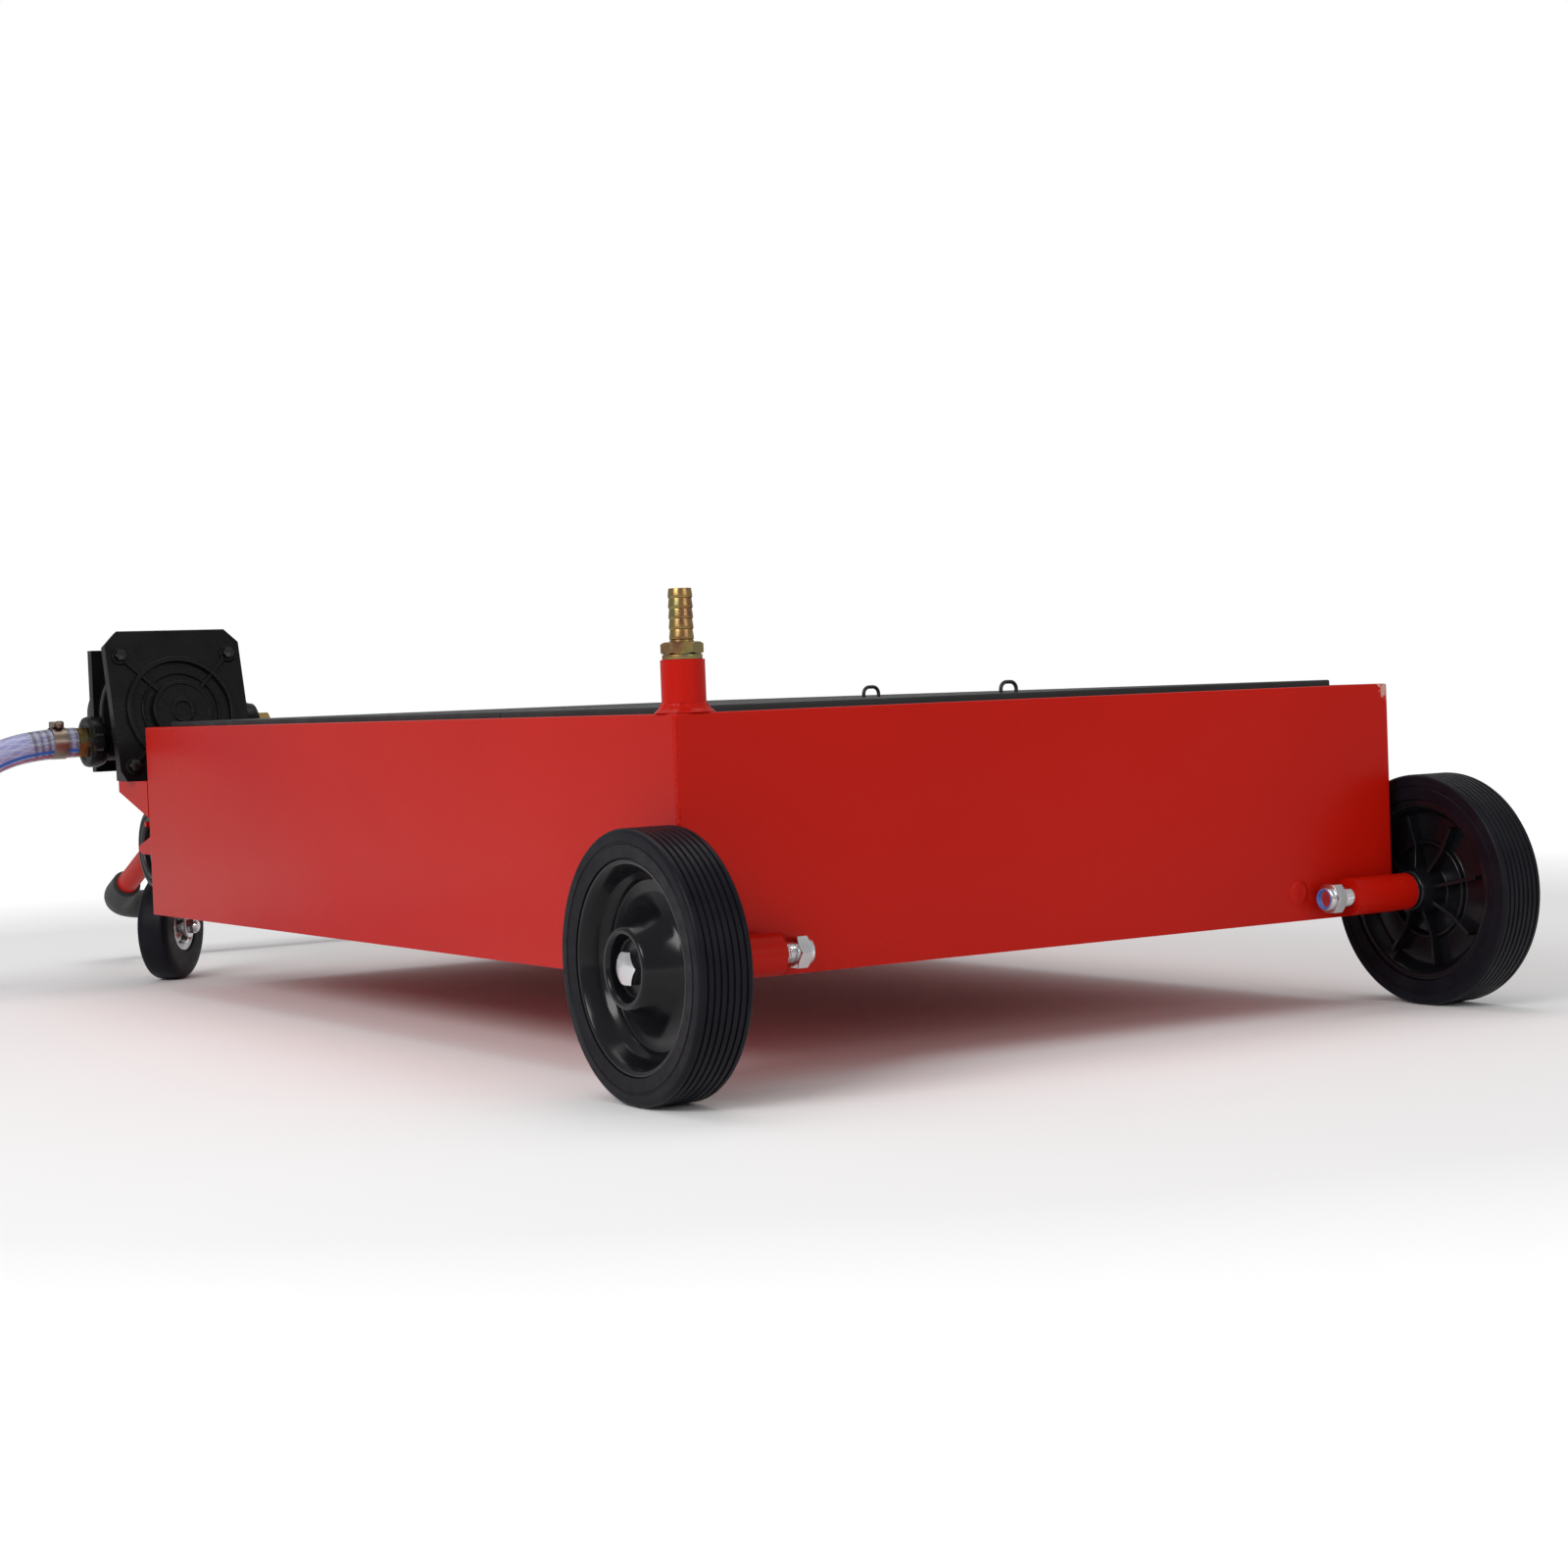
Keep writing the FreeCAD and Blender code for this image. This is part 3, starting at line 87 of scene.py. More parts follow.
class Surface:
    """Small helper that builds one procedural material."""

    def __init__(self, name):
        self.material = bpy.data.materials.new(name)
        self.material.use_nodes = True
        self.tree = self.material.node_tree
        self.shader = self.tree.nodes["Principled BSDF"]
        self.place = self.tree.nodes.new("ShaderNodeTexCoord").outputs["Object"]

    def set(self, **sockets):
        """Uniform values on the shader's own sockets."""
        for name, value in sockets.items():
            self.shader.inputs[name.replace("_", " ")].default_value = value
        return self

    def node(self, kind, settings=None, **inputs):
        """New node; inputs go by name, or by number as i0, i1 and so on, and are values or outputs."""
        made = self.tree.nodes.new(kind)
        for name, value in (settings or {}).items():
            setattr(made, name, value)
        for name, value in inputs.items():
            numbered = name[0] == "i" and name[1:].isdigit()
            socket = made.inputs[int(name[1:]) if numbered else name]
            if hasattr(value, "is_output"):
                self.tree.links.new(value, socket)
            else:
                socket.default_value = value
        return made

    def noise(self, scale, detail, roughness=0.5, place=None):
        made = self.node("ShaderNodeTexNoise", Vector=place or self.place, Scale=scale, Detail=detail,
                         Roughness=roughness)
        return made.outputs["Fac"]

    def cells(self, scale):
        return self.node("ShaderNodeTexVoronoi", Vector=self.place, Scale=scale).outputs["Distance"]

    def ramp(self, value, stops):
        """Colour ramp: stops are (position, colour)."""
        made = self.node("ShaderNodeValToRGB", Fac=value)
        elements = made.color_ramp.elements
        while len(elements) < len(stops):
            elements.new(0.5)
        for element, (position, colour) in zip(elements, stops):
            element.position = position
            element.color = (*colour, 1)
        return made.outputs["Color"]

    def levels(self, value, low, high, out_low=0.0, out_high=1.0):
        made = self.node("ShaderNodeMapRange", i0=value, i1=low, i2=high, i3=out_low, i4=out_high)
        return made.outputs["Result"]

    def maths(self, operation, first, second=0.0):
        return self.node("ShaderNodeMath", {"operation": operation}, i0=first, i1=second).outputs[0]

    def mix(self, factor, first, second):
        made = self.node("ShaderNodeMix", {"data_type": "RGBA"}, i0=factor)
        for socket, value in ((made.inputs[6], first), (made.inputs[7], second)):
            if hasattr(value, "is_output"):
                self.tree.links.new(value, socket)
            else:
                socket.default_value = (*value, 1)
        return made.outputs[2]

    def separate(self, vector=None):
        return self.node("ShaderNodeSeparateXYZ", Vector=vector or self.place).outputs

    def colour(self, value):
        self.tree.links.new(value, self.shader.inputs["Base Color"])
        return self

    def rough(self, value):
        self.tree.links.new(value, self.shader.inputs["Roughness"])
        return self

    def mottle(self, scale, detail, dark, light, low=0.3, high=0.7):
        """Colour that drifts between two tones."""
        return self.colour(self.ramp(self.noise(scale, detail), ((low, dark), (high, light))))

    def wear(self, scale, detail, smooth, worn, low=0.3, high=0.7):
        """Roughness that drifts between two values."""
        return self.rough(self.levels(self.noise(scale, detail), low, high, smooth, worn))

    def bump(self, *layers):
        """Bump layers, each (height value, distance in metres, strength)."""
        normal = None
        for height, distance, strength in layers:
            made = self.node("ShaderNodeBump", Height=height, Distance=distance, Strength=strength)
            if normal is not None:
                self.tree.links.new(normal, made.inputs["Normal"])
            normal = made.outputs["Normal"]
        self.tree.links.new(normal, self.shader.inputs["Normal"])
        return self


def make_paint():
    """Orange-red enamel over bent sheet: faint orange peel, and a rubbed spot by the far front corner."""
    s = Surface("red_enamel")
    tone = s.ramp(s.noise(3.0, 2.0), ((0.35, (0.450, 0.0060, 0.0015)), (0.65, (0.485, 0.0075, 0.0020))))
    x, y, z = s.separate()[:3]
    off = [s.maths("SUBTRACT", value, centre) for value, centre in ((x, FRONT), (y, FAR), (z, RIM))]
    squares = [s.maths("MULTIPLY", value, value) for value in off]
    distance = s.maths("SQRT", s.maths("ADD", s.maths("ADD", squares[0], squares[1]), squares[2]))
    near_corner = s.levels(distance, 0.008, 0.028, 1.0, 0.0)
    chips = s.levels(s.maths("MULTIPLY", near_corner, s.noise(260.0, 4.0)), 0.38, 0.48)
    s.colour(s.mix(chips, tone, (0.55, 0.30, 0.26)))
    s.wear(14.0, 4.0, 0.26, 0.34, 0.2, 0.8)
    s.set(IOR=1.22, Coat_Weight=0.02, Coat_Roughness=0.10)
    s.bump((s.noise(700.0, 1.0), 0.0001, 0.08), (chips, 0.0003, 0.4))
    return s.material


def make_rubber():
    s = Surface("tyre_rubber").set(IOR=1.22)
    s.mottle(40.0, 6.0, (0.004, 0.004, 0.007), (0.008, 0.008, 0.012)).wear(90.0, 5.0, 0.34, 0.5)
    s.bump((s.noise(1400.0, 2.0), 0.0002, 0.35))
    return s.material


def make_hub_plastic():
    s = Surface("hub_gloss_plastic").set(IOR=1.33)
    s.mottle(25.0, 3.0, (0.0045, 0.0045, 0.006), (0.008, 0.008, 0.010))
    s.wear(60.0, 5.0, 0.14, 0.26, high=0.75)
    s.bump((s.noise(420.0, 2.0), 0.0002, 0.10))
    return s.material


def make_foam():
    s = Surface("grip_foam").set(Roughness=0.85, Sheen_Weight=0.15)
    s.mottle(120.0, 5.0, (0.014, 0.014, 0.015), (0.027, 0.027, 0.028))
    s.bump((s.cells(900.0), 0.0005, 0.5), (s.noise(60.0, 2.0), 0.001, 0.2))
    return s.material


def make_cast_black():
    """Black enamel over a sand casting."""
    s = Surface("cast_black_enamel").set(IOR=1.24)
    s.mottle(30.0, 5.0, (0.003, 0.003, 0.0035), (0.007, 0.007, 0.008)).wear(50.0, 5.0, 0.22, 0.38)
    s.bump((s.noise(260.0, 4.0, 0.6), 0.0008, 0.35))
    return s.material


def make_satin_black():
    """Powder-coated sheet of the screens."""
    s = Surface("screen_powder_coat")
    s.mottle(18.0, 4.0, (0.008, 0.008, 0.009), (0.016, 0.016, 0.017)).wear(40.0, 4.0, 0.36, 0.5)
    s.bump((s.noise(1100.0, 1.0), 0.0002, 0.3), (s.noise(5.0, 1.0), 0.01, 0.06))
    return s.material


def make_moulded_black():
    s = Surface("moulded_black_plastic")
    s.mottle(30.0, 3.0, (0.010, 0.010, 0.011), (0.016, 0.016, 0.017)).wear(70.0, 4.0, 0.42, 0.55)
    s.bump((s.cells(1300.0), 0.0002, 0.35))
    return s.material


def make_metal(name, dark, light, low_rough, high_rough):
    """Plated metal with faint stains and fine scratches."""
    s = Surface(name).set(Metallic=1.0)
    s.mottle(20.0, 4.0, dark, light, 0.35, 0.65).wear(80.0, 6.0, low_rough, high_rough)
    stretch = s.node("ShaderNodeMapping", Vector=s.place, Scale=(60.0, 900.0, 900.0)).outputs["Vector"]
    s.bump((s.noise(1.0, 3.0, place=stretch), 0.0001, 0.18))
    return s.material


def make_yellow_zinc():
    """Yellow passivated zinc: gold with pink and green blooms."""
    s = Surface("yellow_zinc").set(Metallic=1.0)
    s.colour(s.ramp(s.noise(75.0, 2.0), ((0.30, (0.24, 0.12, 0.07)), (0.45, (0.36, 0.22, 0.08)),
                                         (0.60, (0.27, 0.25, 0.10)), (0.72, (0.36, 0.19, 0.14)))))
    s.wear(120.0, 5.0, 0.2, 0.34)
    s.bump((s.noise(500.0, 3.0), 0.0001, 0.25))
    return s.material


def make_nylon():
    s = Surface("blue_nylon").set(Roughness=0.45, Subsurface_Weight=0.1)
    s.mottle(200.0, 2.0, (0.05, 0.12, 0.45), (0.08, 0.18, 0.55))
    s.bump((s.noise(800.0, 2.0), 0.0001, 0.2))
    return s.material


def make_hose():
    """Clear vinyl with a white textile braid inside, and one blue and one red stripe along it.

    The tube's UV map holds turns round it in U and metres along it in V.
    """
    s = Surface("braided_clear_vinyl")
    uv = s.tree.nodes.new("ShaderNodeUVMap")
    uv.uv_map = "UVMap"
    u, v = s.separate(uv.outputs["UV"])[:2]
    per_turn, per_metre, barb_pitch = 14.0, 42.0, 0.0078
    threads = []
    for sign in (1, -1):
        lean = s.maths("MULTIPLY", v, sign * per_metre)
        phase = s.maths("FRACT", s.maths("ADD", s.maths("MULTIPLY", u, per_turn), lean))
        threads.append(s.levels(s.maths("ABSOLUTE", s.maths("SUBTRACT", phase, 0.5)), 0.07, 0.13, 1.0, 0.0))
    braid = s.maths("MAXIMUM", threads[0], threads[1])
    vinyl = s.mix(s.noise(9.0, 2.0), (0.30, 0.32, 0.62), (0.40, 0.41, 0.68))
    body = s.mix(s.maths("MULTIPLY", braid, 0.45), vinyl, (0.72, 0.73, 0.88))
    # The barb shows through the first stretch as dark rings.
    rings = s.levels(s.maths("SINE", s.maths("MULTIPLY", v, TURN / barb_pitch)), -0.6, 0.8, 0.25, 0.8)
    on_barb = s.levels(v, 0.050, 0.056, 1.0, 0.0)
    body = s.mix(s.maths("MULTIPLY", rings, on_barb), body, (0.10, 0.085, 0.075))
    for turn, tint in ((0.29, (0.02, 0.14, 0.60)), (0.225, (0.50, 0.02, 0.10))):
        near = s.maths("ABSOLUTE", s.maths("SUBTRACT", u, turn))
        body = s.mix(s.levels(near, 0.016, 0.022, 1.0, 0.0), body, tint)
    s.colour(body)
    s.set(Roughness=0.16, Transmission_Weight=0.35, IOR=1.42, Coat_Weight=0.4, Coat_Roughness=0.08)
    s.bump((braid, 0.0006, 0.35), (s.noise(30.0, 2.0), 0.001, 0.15))
    return s.material


def make_lead():
    s = Surface("lead_vinyl")
    s.mottle(60.0, 3.0, (0.010, 0.010, 0.012), (0.018, 0.018, 0.020)).wear(140.0, 3.0, 0.34, 0.46)
    s.bump((s.noise(700.0, 2.0), 0.0002, 0.2))
    return s.material


def make_floor():
    """Pale floor with a painted glow that rises away from the tank, so that it fades into the white backdrop.
    """
    s = Surface("studio_floor")
    s.colour(s.ramp(s.noise(2.0, 2.0), ((0.3, (0.93, 0.93, 0.93)), (0.7, (0.95, 0.95, 0.95)))))
    x, y = s.separate()[:2]
    distance = s.maths("SQRT", s.maths("ADD", s.maths("MULTIPLY", x, x), s.maths("MULTIPLY", y, y)))
    s.set(Roughness=0.8, Specular_IOR_Level=0.1, Emission_Color=(1, 1, 1, 1))
    # Painted light: the floor glows more the further it lies from the tank, though it is no lamp.
    s.tree.links.new(s.levels(distance, 1.3, 2.9, 0.0, 0.75), s.shader.inputs["Emission Strength"])
    s.bump((s.noise(60.0, 2.0), 0.0005, 0.05))
    return s.material


PAINT = make_paint()
RUBBER = make_rubber()
HUB = make_hub_plastic()
FOAM = make_foam()
CAST = make_cast_black()
SATIN = make_satin_black()
MOULDED = make_moulded_black()
YELLOW = make_yellow_zinc()
NYLON = make_nylon()
HOSE = make_hose()
LEAD = make_lead()
CLAMP = make_metal("worm_clamp_zinc", (0.17, 0.13, 0.105), (0.28, 0.22, 0.18), 0.28, 0.42)
BRIGHT = make_metal("bright_zinc", (0.60, 0.61, 0.63), (0.76, 0.76, 0.77), 0.16, 0.30)
BLACK_STEEL = make_metal("black_oxide_steel", (0.035, 0.035, 0.037), (0.06, 0.06, 0.062), 0.28, 0.42)
PRONGS = make_metal("nickel_prongs", (0.66, 0.62, 0.52), (0.76, 0.72, 0.62), 0.18, 0.26)

SLOT_LOOKS = {
    "paint": PAINT, "black_screen": SATIN, "zinc": YELLOW, "steel": BRIGHT, "tyre": RUBBER,
    "hub_plastic": HUB, "foam": FOAM, "cast_black": CAST, "motor_black": CAST, "black_steel": BLACK_STEEL,
    "black_plastic": MOULDED, "hose": HOSE, "lead": LEAD,
}


def dress_nodes():
    """Every CAD node that stays gets the procedural material of its slot."""
    for part in frame["record"]["subparts"]:
        piece = frame["nodes"][part["node"]]
        look = SLOT_LOOKS[part["material_slot"]]
        if not piece.material_slots:
            piece.data.materials.append(look)
        for place in piece.material_slots:
            place.material = look


# ---------------------------------------------------------------- mesh helpers

def add_object(name, data):
    """Object in the scene."""
    made = bpy.data.objects.new(name, data)
    bpy.context.scene.collection.objects.link(made)
    return made


def add_mesh(name, verts, faces, look, body, smooth=True, replaces=()):
    """Mesh piece that rides on a body."""
    data = bpy.data.meshes.new(name)
    data.from_pydata([tuple(v) for v in verts], [], faces)
    data.validate()
    data.materials.append(look)
    piece = add_object(name, data)
    if smooth:
        data.shade_smooth()
        data.set_sharp_from_angle(angle=SHARP_ANGLE)
    else:
        data.shade_flat()
    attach(piece, body)
    if replaces:
        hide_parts(*replaces)
    return piece


def facing(axis):
    """Rotation that takes Z to the axis."""
    return Vector(axis).to_track_quat("Z", "Y").to_matrix()


def rounded(corners, radius, steps=4):
    """Closed 2D outline with every corner rounded; a corner may carry its own radius as a third number."""
    result = []
    count = len(corners)
    for index, corner in enumerate(corners):
        here = Vector(corner[:2])
        before = Vector(corners[index - 1][:2])
        after = Vector(corners[(index + 1) % count][:2])
        size = corner[2] if len(corner) > 2 else radius
        into, out = before - here, after - here
        reach = min(size, into.length * 0.45, out.length * 0.45)
        if reach <= 0:
            result.append(here)
            continue
        first, last = here + into.normalized() * reach, here + out.normalized() * reach
        for step in range(steps + 1):
            share = step / steps
            result.append(first * (1 - share) ** 2 + here * 2 * share * (1 - share) + last * share ** 2)
    return result


def placed(origin, x, y, z):
    """Matrix at a point, with its own axes along three directions."""
    return Matrix.Translation(origin) @ Matrix((x, y, z)).transposed().to_4x4()


def mm(outline):
    """Outline given in millimetres, as metres."""
    return [Vector(point) * MM for point in outline]


def profile(corners, radius, steps=4):
    """Outline with rounded corners, given in millimetres."""
    return mm(rounded(corners, radius, steps))


def lathe(name, outline, centre, axis, look, body, segments=96, replaces=(), closed=True):
    """Outline of (radius, distance along the axis) turned round the axis.

    It may be a function of the angle, as on a thread. One that isn't closed starts and ends on the axis.
    """
    turn = facing(axis)
    verts = []
    for segment in range(segments):
        angle = TURN * segment / segments
        section = outline(angle) if callable(outline) else outline
        for radius, along in section:
            verts.append(centre + turn @ Vector((radius * math.cos(angle), radius * math.sin(angle), along)))
    count = len(section)
    faces = []
    for segment in range(segments):
        here, there = segment * count, (segment + 1) % segments * count
        for index in range(count if closed else count - 1):
            after = (index + 1) % count
            faces.append((here + index, there + index, there + after, here + after))
    return add_mesh(name, verts, faces, look, body, replaces=replaces)


def frames_along(points):
    """Point, tangent and two side vectors along a line, turned as little as possible."""
    result = []
    side = None
    for index, point in enumerate(points):
        ahead = points[min(index + 1, len(points) - 1)] - points[max(index - 1, 0)]
        tangent = ahead.normalized()
        if side is None:
            side = tangent.orthogonal().normalized()
        side = (side - tangent * side.dot(tangent)).normalized()
        result.append((point, tangent, side, tangent.cross(side)))
    return result


def sweep(name, points, radius, look, body, segments=16, replaces=(), shape=None):
    """Round bar along points. shape(share, angle) scales the radius. The UV map holds turns and metres."""
    verts = []
    lines = frames_along(points)
    along = [0.0]
    for start, end in zip(points, points[1:]):
        along.append(along[-1] + (end - start).length)
    for index, (point, _, side, other) in enumerate(lines):
        for segment in range(segments):
            angle = TURN * segment / segments
            size = radius * (shape(along[index] / along[-1], angle) if shape else 1)
            verts.append(point + (side * math.cos(angle) + other * math.sin(angle)) * size)
    faces = []
    for index in range(len(points) - 1):
        for segment in range(segments):
            after = (segment + 1) % segments
            low, high = index * segments, (index + 1) * segments
            faces.append((low + segment, low + after, high + after, high + segment))
    faces.append(tuple(reversed(range(segments))))
    faces.append(tuple((len(points) - 1) * segments + segment for segment in range(segments)))
    piece = add_mesh(name, verts, faces, look, body, replaces=replaces)
    layer = piece.data.uv_layers.new(name="UVMap")
    for face in piece.data.polygons:
        turns = [piece.data.loops[loop].vertex_index % segments for loop in face.loop_indices]
        wraps = max(turns) - min(turns) > 1
        for loop, turn in zip(face.loop_indices, turns):
            vertex = piece.data.loops[loop].vertex_index
            whole = segments if wraps and turn == 0 else turn
            layer.data[loop].uv = (whole / segments, along[vertex // segments])
    return piece


def run_length(line):
    """Length along a line of points."""
    return sum((b - a).length for a, b in zip(line, line[1:]))


def nut(name, flats, height, bore, start, axis, look, body, both_ends=True, replaces=(), collar=0.0):
    """Hexagon with chamfered corners, and a round collar beyond it.

    flats is half its width across flats, and a bore of 0 closes it.
    """
    slope = math.tan(math.radians(30))
    top = flats * 0.97

    def section(angle):
        wide = flats / math.cos(angle % (math.pi / 3) - math.pi / 6)
        drop = (wide - top) * slope
        rings = [(bore, 0.0), (top if both_ends else wide, 0.0), (wide, drop if both_ends else 0.0),
                 (wide, height - drop), (top, height)]
        if collar:
            rings += [(flats * 0.86, height), (flats * 0.84, height + collar * 0.8),
                      (flats * 0.72, height + collar)]
        return rings + [(bore, height + collar)]

    return lathe(name, section, start, axis, look, body, 72, replaces, closed=bore > 0)


def slab(name, outline, thick, place, look, body, bevel=0.0, replaces=()):
    """Flat plate: a 2D outline padded along the local Z of a matrix, with bevelled edges."""
    count = len(outline)
    verts = [place @ Vector((x, y, level)) for level in (0, thick) for x, y in outline]
    faces = [tuple(reversed(range(count))), tuple(range(count, 2 * count))]
    for index in range(count):
        after = (index + 1) % count
        faces.append((index, after, count + after, count + index))
    piece = add_mesh(name, verts, faces, look, body, replaces=replaces)
    if bevel:
        soften(piece, bevel)
    return piece


def soften(piece, width, segments=3):
    """Rounds a piece's sharp edges."""
    modifier = piece.modifiers.new("rounded_edges", "BEVEL")
    modifier.width = width
    modifier.segments = segments
    modifier.limit_method = "ANGLE"
    modifier.angle_limit = math.radians(30)
    modifier.harden_normals = True


def bead(name, start, end, radius):
    """Painted weld bead with ripples and lumps, along a straight line."""
    spacing = 0.0012
    count = max(1, round((end - start).length / spacing))
    line = [start.lerp(end, step / count) for step in range(count)] + [end]

    def lumps(share, angle):
        place = Vector((share * 40, math.cos(angle), math.sin(angle)))
        return 0.82 + 0.14 * math.sin(share * len(line) * 1.5) + 0.3 * noise.noise(place)

    sweep(name, line, radius, PAINT, "tank", segments=10, shape=lumps)


# ---------------------------------------------------------------- fixed wheels

def tyre_outline(inner, outer, width, grooves, shoulder):
    """Section of a solid tyre: fine ribs round the tread and a thin line round each sidewall."""
    line = inner + (outer - inner) * 0.52
    side = [(inner, 0.0012), (line - 0.0012, 0.0), (line - 0.0006, 0.0007), (line + 0.0006, 0.0007),
            (line + 0.0012, 0.0), (outer - shoulder, 0.0)]
    arc = [(outer - shoulder + shoulder * math.sin(a), shoulder - shoulder * math.cos(a))
           for a in (math.pi / 2 * step / 8 for step in range(1, 8))]
    pitch = (width - 2 * shoulder) / grooves
    half = min(0.0011, pitch * 0.28)
    deep = outer - 0.0014
    tread = [(outer, shoulder)]
    for index in range(grooves):
        centre = shoulder + pitch * (index + 0.5)
        tread += [(outer, centre - half), (deep, centre - half * 0.45), (deep, centre + half * 0.45),
                  (outer, centre + half)]
    tread.append((outer, width - shoulder))
    mirrored = [(radius, width - along) for radius, along in reversed(side + arc)]
    return side + arc + tread + mirrored


def build_fixed_wheels():
    outer, width, seat, shoulder = 101.5 * MM, 45 * MM, 80 * MM, 3.5 * MM
    grooves, ribs, first_rib, rib_thick = 7, 8, 0.2, 3 * MM
    hub = profile([(8.06, -11.5), (17, -11.5), (20, 0), (21, 15), (39, 15), (40, 10), (43, 10), (44, 15),
                   (67, 15), (74, 2.5), (80, 2.5), (80, 42.5), (78.5, 43.2), (76, 42.8), (73.5, 39),
                   (69, 29), (64.5, 24.5), (63.2, 21.5, 0.8), (53, 20.5, 5), (45, 23.5, 5), (37, 34, 6),
                   (31, 46.5), (29.3, 49), (25.8, 49), (24.2, 46.5), (22.5, 38.4), (8.06, 38.4)], 1.6)
    rib = mm([(19.5, 1), (40, 6), (66, 3), (66, 15.5), (19.5, 15.5)])
    for side, sign in SIDES:
        body = f"wheel_{side}"
        centre = middle(f"wheel_tyre_{side}")
        face = Vector((centre.x, WALLS[side] + sign * 12 * MM, centre.z))
        axis = Y_AXIS * sign
        lathe(f"tyre_{side}", tyre_outline(seat, outer, width, grooves, shoulder), face, axis, RUBBER, body,
              segments=160, replaces=(f"wheel_tyre_{side}",))
        lathe(f"hub_{side}", hub, face, axis, HUB, body, segments=128,
              replaces=(f"wheel_hub_{side}",))
        for index in range(ribs):
            angle = TURN * index / ribs + first_rib
            radial = Vector((math.cos(angle), 0, math.sin(angle)))
            across = radial.cross(axis)
            place = placed(face - across * rib_thick / 2, radial, axis, across)
            slab(f"hub_rib_{side}_{index}", rib, rib_thick, place, HUB, body, bevel=0.6 * MM)


def threaded_bar(name, radius, length, start, axis, threaded, pitch, look, body, replaces=()):
    """Bolt shank whose far part is threaded and ends in a chamfer."""
    steps = int(threaded / pitch * 8)
    plain = length - threaded
    depth = radius * 0.11
    outline = [(0.0002, 0.0), (radius, 0.0), (radius, plain)]
    outline += [(radius, plain + threaded * (i + 0.5) / steps) for i in range(steps)]
    outline += [(radius * 0.82, length), (0.0002, length)]

    def section(angle):
        """The outline with a helical groove in its threaded part."""
        result = []
        for wide, along in outline:
            if wide >= radius * 0.98 and plain < along < length - 0.001:
                phase = (along / pitch - angle / TURN) % 1
                wide = radius - depth * abs(phase * 2 - 1)
            result.append((wide, along))
        return result

    lathe(name, section, start, axis, look, body, segments=48, replaces=replaces)


def build_axles():
    """Axle bolts with chamfered heads and real threads, and lock nuts with nylon rings."""
    ring = profile([(7.7, 11.8), (8.9, 11.8), (8.9, 15.8), (7.7, 15.8)], 0.4)
    washer = profile([(8.1, 0), (15, 0), (15, 2.5), (8.1, 2.5)], 0.4)
    head_height = 9.5 * MM
    faces_out = (50.4, -84.5, -3)    # the head's, nut's and tube's faces, out from the pan's side
    for side, sign in SIDES:
        low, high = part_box(f"axle_bolt_{side}")
        centre = middle(f"wheel_tyre_{side}")
        head_face, nut_face, tube_end = (Vector((centre.x, WALLS[side] + sign * distance * MM, centre.z))
                                         for distance in faces_out)
        out = Y_AXIS * sign
        length = high.y - low.y - head_height
        threaded_bar(f"axle_{side}", 8 * MM, length, head_face, -out, 46 * MM, 2 * MM, BRIGHT, "tank",
                     replaces=(f"axle_bolt_{side}",))
        nut(f"axle_head_{side}", 12 * MM, head_height, 0.0, head_face, out, BRIGHT, "tank",
            both_ends=False)
        nut(f"axle_lock_nut_{side}", 12 * MM, 11 * MM, 7.9 * MM, nut_face, -out, BRIGHT, "tank",
            replaces=("axle_nuts",), collar=4.6 * MM)
        lathe(f"nylon_ring_{side}", ring, nut_face, -out, NYLON, "tank", 48)
        lathe(f"washer_{side}", washer, tube_end, out, BRIGHT, "tank", 64,
              replaces=("axle_washers",))


# ---------------------------------------------------------------- casters

CASTER_TURN = {"near": -43.9, "far": 34.0}


def build_casters():
    tread = profile([(27, 3), (30, 1.2, 2), (50, 0.4, 8), (57.6, 3.4, 6), (59, 10, 6), (59, 26, 6),
                     (57.6, 32.6, 6), (50, 35.6, 8), (30, 34.8, 2), (27, 33)], 1.0, steps=6)
    rim = profile([(5.06, -1), (8.5, -1), (9, 9), (12, 12), (18, 12.5), (22, 4), (24.5, 2.2), (27, 2.2),
                   (27, 33.8), (24.5, 33.8), (22, 32), (18, 23.5), (12, 24), (9, 27), (8.5, 37),
                   (5.06, 37)], 1.2)
    bar = profile([(0.01, -29), (5, -29), (5, 33), (0.01, 33)], 0.5)
    half_tread, half_fork, half_flats = 18 * MM, 23.2 * MM, 7.8 * MM
    for side, _ in SIDES:
        turn = math.radians(CASTER_TURN[side])
        along = Vector((math.cos(turn), math.sin(turn), 0))
        axis = Vector((-math.sin(turn), math.cos(turn), 0))
        centre = middle(f"caster_tyre_{side}")
        face = centre - axis * half_tread
        wheel, fork = f"caster_wheel_{side}", f"caster_{side}"
        lathe(f"caster_tread_{side}", tread, face, axis, RUBBER, wheel, 128,
              replaces=(f"caster_tyre_{side}",))
        lathe(f"caster_disc_{side}", rim, face, axis, BRIGHT, wheel, 96,
              replaces=(f"caster_rim_{side}",))
        lathe(f"caster_bolt_{side}", bar, centre, axis, BRIGHT, fork, 32,
              replaces=(f"caster_axle_{side}",))
        nut(f"caster_bolt_head_{side}", half_flats, 6 * MM, 0.0, centre - axis * half_fork, -axis, BRIGHT,
            fork, both_ends=False)
        nut(f"caster_lock_nut_{side}", half_flats, 6.5 * MM, 4.9 * MM, centre + axis * half_fork, axis,
            BRIGHT, fork, collar=2.5 * MM)
        build_fork(side, centre, along, axis, fork)


